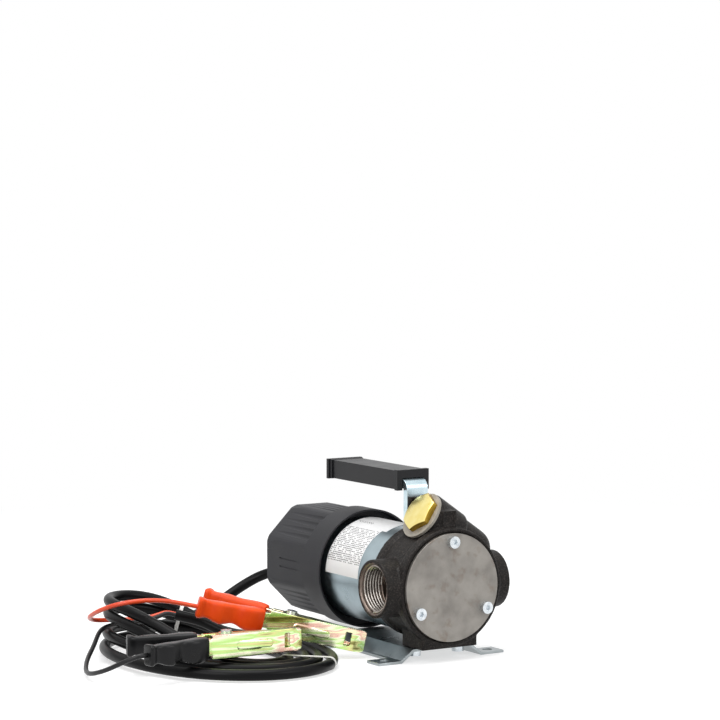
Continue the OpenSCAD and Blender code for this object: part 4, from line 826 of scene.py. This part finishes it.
def printTree():
    # a grid of dashes of uneven length, some left out, bent round the tube
    tree, out = startTree("labelPrint", {
        "Geometry": ["Base"], "Int": ["Columns", "Rows", "Seed"], "Material": ["Finish"],
        "Float": ["Long", "High", "Dash Height", "Cell", "Thick", "Kept", "Radius", "Turn", "Start",
                  "Shaft Height"]}, "Print")
    grid = addNode(tree, "GeometryNodeMeshGrid", {}, {"Size X": out["High"], "Vertices X": out["Rows"],
                                                      "Size Y": out["Long"], "Vertices Y": out["Columns"]})
    keep = addNode(tree, "FunctionNodeRandomValue", {"data_type": "BOOLEAN"},
                   {"Probability": out["Kept"], "Seed": out["Seed"]})
    points = addNode(tree, "GeometryNodeMeshToPoints", {},
                     {"Mesh": grid.outputs["Mesh"], "Selection": keep.outputs[3]})
    box = addNode(tree, "GeometryNodeMeshCube")
    stretch = addNode(tree, "FunctionNodeRandomValue", {"data_type": "FLOAT"}, {"Seed": out["Seed"]})
    stretch.inputs[2].default_value, stretch.inputs[3].default_value = label["shortest"], label["longest"]
    long = calc(tree, "MULTIPLY", stretch.outputs[1], out["Cell"])
    size = addNode(tree, "ShaderNodeCombineXYZ", {}, {0: out["Dash Height"], 1: long, 2: out["Thick"]})
    dashes = addNode(tree, "GeometryNodeInstanceOnPoints", {},
                     {"Points": points.outputs[0], "Instance": box.outputs[0], "Scale": size.outputs[0]})
    flat = addNode(tree, "GeometryNodeRealizeInstances", {}, {"Geometry": dashes.outputs[0]})
    place = addNode(tree, "GeometryNodeInputPosition")
    parts = addNode(tree, "ShaderNodeSeparateXYZ", {}, {0: place.outputs[0]}).outputs
    turned = calc(tree, "ADD", calc(tree, "DIVIDE", parts[0], out["Radius"]), out["Turn"])
    reach = calc(tree, "ADD", parts[2], out["Radius"])
    side = calc(tree, "MULTIPLY", calc(tree, "COSINE", turned), reach)
    left = calc(tree, "MULTIPLY", side, -1.0)
    high = calc(tree, "MULTIPLY_ADD", calc(tree, "SINE", turned), reach, out["Shaft Height"])
    back = calc(tree, "ADD", parts[1], out["Start"])
    bent = addNode(tree, "ShaderNodeCombineXYZ", {}, {0: left, 1: back, 2: high})
    wrapped = addNode(tree, "GeometryNodeSetPosition", {},
                      {"Geometry": flat.outputs[0], "Position": bent.outputs[0]})
    return endTree(tree, wrapped.outputs[0], out["Finish"], "Print")


def makePrint():
    # the label's rows, and two longer rows on the strip above them
    tree = printTree()
    fields = (("labelPrint", label["rows"], label["rowsFrom"], label["from"], label["to"], label["kept"]),
              ("stripPrint", label["stripRows"], label["stripFrom"], label["stripStart"], label["stripTo"],
               label["stripKept"]))
    for name, rows, low, start, end, kept in fields:
        holder = linkObject(name + "Base", bpy.data.meshes.new(name + "Base"))
        high = (rows - 1) * label["rowGap"]
        columns = int((end - start) / label["cell"])
        middle = math.radians(low) + high / 2 / label["radius"]
        mesh = runTree(holder, tree, {
            "Long": (end - start) * mm, "High": high * mm, "Dash Height": label["dashHeight"] * mm,
            "Cell": label["cell"] * mm, "Thick": label["thick"] * mm, "Kept": kept, "Turn": middle,
            "Radius": label["radius"] * mm, "Start": ((start + end) / 2 - pumpBack) * mm,
            "Shaft Height": shaftHeight * mm, "Columns": columns, "Rows": rows, "Seed": label["seed"],
            "Finish": materials["greyInk"]})
        faceOutwards(mesh)
        declare(linkObject(name, mesh), "pump", "label")


makeBevelled()
makeRounded()
makeSleeves()
makeValveSpring("spring_steel")
makeThreads()
makePad()
makePrint()
print("rigid pieces ready:", len(edges["bevelled"]) + len(edges["rounded"]))

# the cable and its leads: routes in mm along the points that the cords' solids follow
cable = {
    "diameter": 7.8, "sides": 24, "step": 2.2, "rounds": 6,
    "leadDiameter": 3.2, "leadSides": 14, "leadStep": 1.6, "leadRounds": 3,
    "exit": (-15, 195.2 + 9 - pumpBack, shaftHeight - 13),   # out of the gland behind the motor cap
    "supply": [(-17, 160, 37.5), (-25, 170, 33), (-38, 176, 25), (-54, 177, 16), (-74, 172, 9),
               (-100, 163, 6), (-126, 150, 5.5)],
    "tail": [(-99, 45, 6), (-105, 59, 9), (-113, 72, 14), (-122, 82, 19.5)],
    "sheathEnd": (-139, 90, 24.5),
    "red": [(-158, 98, 22.5), (-170, 103, 21.9), (-182, 108, 21.8), (-193, 109, 22.5), (-202, 100, 26),
            (-208, 84, 31), (-209, 67, 37), (-203, 54, 42), (-189, 46, 44.5), (-172, 43, 43.5)],
    "black": [(-160, 90, 22.5), (-175, 89, 21.8), (-190, 87, 22), (-203, 80, 20.3), (-217, 63, 13),
              (-230, 46, 7), (-240, 27, 4), (-245, 9, 5), (-243, -9, 10), (-236, -23, 17)],
}
# the coil in mm, degrees and turns: an oval that winds inwards, raised on one side and bulged on another
coil = {
    "centre": (-131, 36), "radii": (68, 92), "lean": 16, "start": 100, "turns": 3.66, "pitch": 9,
    "bulge": 12, "bulgeSide": 215, "bulgeSharpness": 3, "bulgeTurns": 0.4,
    "raisedSide": 115, "sharpness": 3.4, "lift": 1, "leadRoom": 4.6, "leadRate": 2, "leadFrom": 2.8,
    "tuck": 4, "tuckRate": 3, "steps": 400,
    "floor": 7.8 / 2 + 0.3 + 0.5 + 0.05,   # half the cable, its rest, the tie below it and a slip
}


def ease(u):
    v = min(max(u, 0), 1)
    return v * v * (3 - 2 * v)


def crest(a, side, sharpness):
    # 1 on one side of the coil, down to 0 at the far side
    return ((1 + math.cos(a - math.radians(side))) / 2) ** sharpness


def coilAt(t):
    # the coil's middle line after t turns: flat where it lies, heaped where its raised side is
    a = math.radians(coil["start"] + 360 * t)
    raised = crest(a, coil["raisedSide"], coil["sharpness"])
    bulge = coil["bulge"] * crest(a, coil["bulgeSide"], coil["bulgeSharpness"])
    bulge *= 1 - ease(t - coil["bulgeTurns"])
    quarter = math.pi / 2 * raised
    tuck = coil["tuck"] * ease((t - coil["turns"]) * coil["tuckRate"] + 1)
    wound = coil["pitch"] * t * math.cos(quarter) + tuck
    x = (coil["radii"][0] - wound + bulge) * math.cos(a)
    y = (coil["radii"][1] - wound + bulge) * math.sin(a)
    lean = math.radians(coil["lean"])
    return Vector((
        coil["centre"][0] + x * math.cos(lean) - y * math.sin(lean),
        coil["centre"][1] + x * math.sin(lean) + y * math.cos(lean),
        coil["floor"] + coil["lift"] * raised + coil["pitch"] * t * math.sin(quarter)
        + coil["leadRoom"] * raised * ease(coil["leadRate"] * t - coil["leadFrom"]),
    ))


def splineThrough(points, steps=10):
    # a smooth line through all the points
    p = [Vector(q) for q in points]
    line = []
    for i in range(len(p) - 1):
        a, b, c, d = p[max(i - 1, 0)], p[i], p[i + 1], p[min(i + 2, len(p) - 1)]
        line += [between(a, b, c, d, k / steps) for k in range(steps)]
    return line + [p[-1]]


def routed(start, out, route, into, end, run):
    # straight out of the start, along the route, and straight into the end
    start, end = Vector(start), Vector(end)
    return [start] + splineThrough([start + out * run, *route, end - into * run]) + [end]


def evenly(points, step):
    # same line, with its points an even distance apart
    lengths = [0]
    for a, b in zip(points, points[1:]):
        lengths.append(lengths[-1] + (b - a).length)
    count = max(2, round(lengths[-1] / step))
    result, i = [], 0
    for k in range(count + 1):
        target = lengths[-1] * k / count
        while i < len(points) - 2 and lengths[i + 1] < target:
            i += 1
        share = (target - lengths[i]) / max(lengths[i + 1] - lengths[i], 1e-9)
        result.append(points[i].lerp(points[i + 1], min(max(share, 0), 1)))
    return result


def relaxed(points, rounds):
    # evens out the bends, with both ends kept
    for _ in range(rounds):
        points = [points[0], points[1]] + [
            points[i] * 0.5 + (points[i - 1] + points[i + 1]) * 0.25 for i in range(2, len(points) - 2)
        ] + [points[-2], points[-1]]
    return points


def lineLength(points):
    return sum((b - a).length for a, b in zip(points, points[1:]))


def leverEnd(side):
    # where a lead enters its sleeve, and the way that it goes in
    angle, reach = leverRun()
    h = lever["width"] / 4
    x = -lever["bend"] - reach * math.cos(angle) - h * math.sin(angle)
    y = -lever["near"] - reach * math.sin(angle) + h * math.cos(angle)
    turn = clampTurn(side).to_3x3()
    end = Vector(clamps[side]["at"]) + turn @ Vector((x, y, 0))
    return end, turn @ Vector((math.cos(angle), math.sin(angle), 0))


def makeCables():
    d = cable["diameter"]
    turns = [coilAt(coil["turns"] * i / coil["steps"]) for i in range(coil["steps"] + 1)]
    into = (turns[1] - turns[0]).normalized()
    out = (turns[-1] - turns[-2]).normalized()
    first, last = turns[0] - into * d, turns[-1] + out * d
    tailWay = (Vector(cable["sheathEnd"]) - Vector(cable["tail"][-1])).normalized()
    supply = routed(cable["exit"], Vector((0, 1, 0)), cable["supply"], into, first, d)
    tail = routed(last, out, cable["tail"], tailWay, cable["sheathEnd"], d)
    line = relaxed(evenly(supply + turns + tail, cable["step"]), cable["rounds"])
    sheath = sheathPiece("supplyCable", line, d, cable["sides"], "pvcSheath")
    declare(sheath, "pump", "cable_sheath", "supply_cable", "cable_coil", "cable_tail")
    # each core leaves halfway out from the middle
    side = tailWay.cross(Vector((0, 0, 1))).normalized() * d / 4
    for name, sign, finish, slot in (("red", 1, "pvcOrangeCore", "orange_lead"),
                                     ("black", -1, "pvcBlackCore", "black_lead")):
        end, way = leverEnd(name)
        start = Vector(cable["sheathEnd"]) + side * sign
        w = cable["leadDiameter"]
        route = routed(start, tailWay, cable[name], way, end, 2 * w)
        lead = relaxed(evenly(route, cable["leadStep"]), cable["leadRounds"])
        core = sheathPiece(name + "Core", lead, w, cable["leadSides"], finish)
        declare(core, "pump", slot, name + "_lead")
        print(name, "lead", round(lineLength(lead)), "mm")
    print("cable", round(lineLength(line)), "mm")


makeCables()
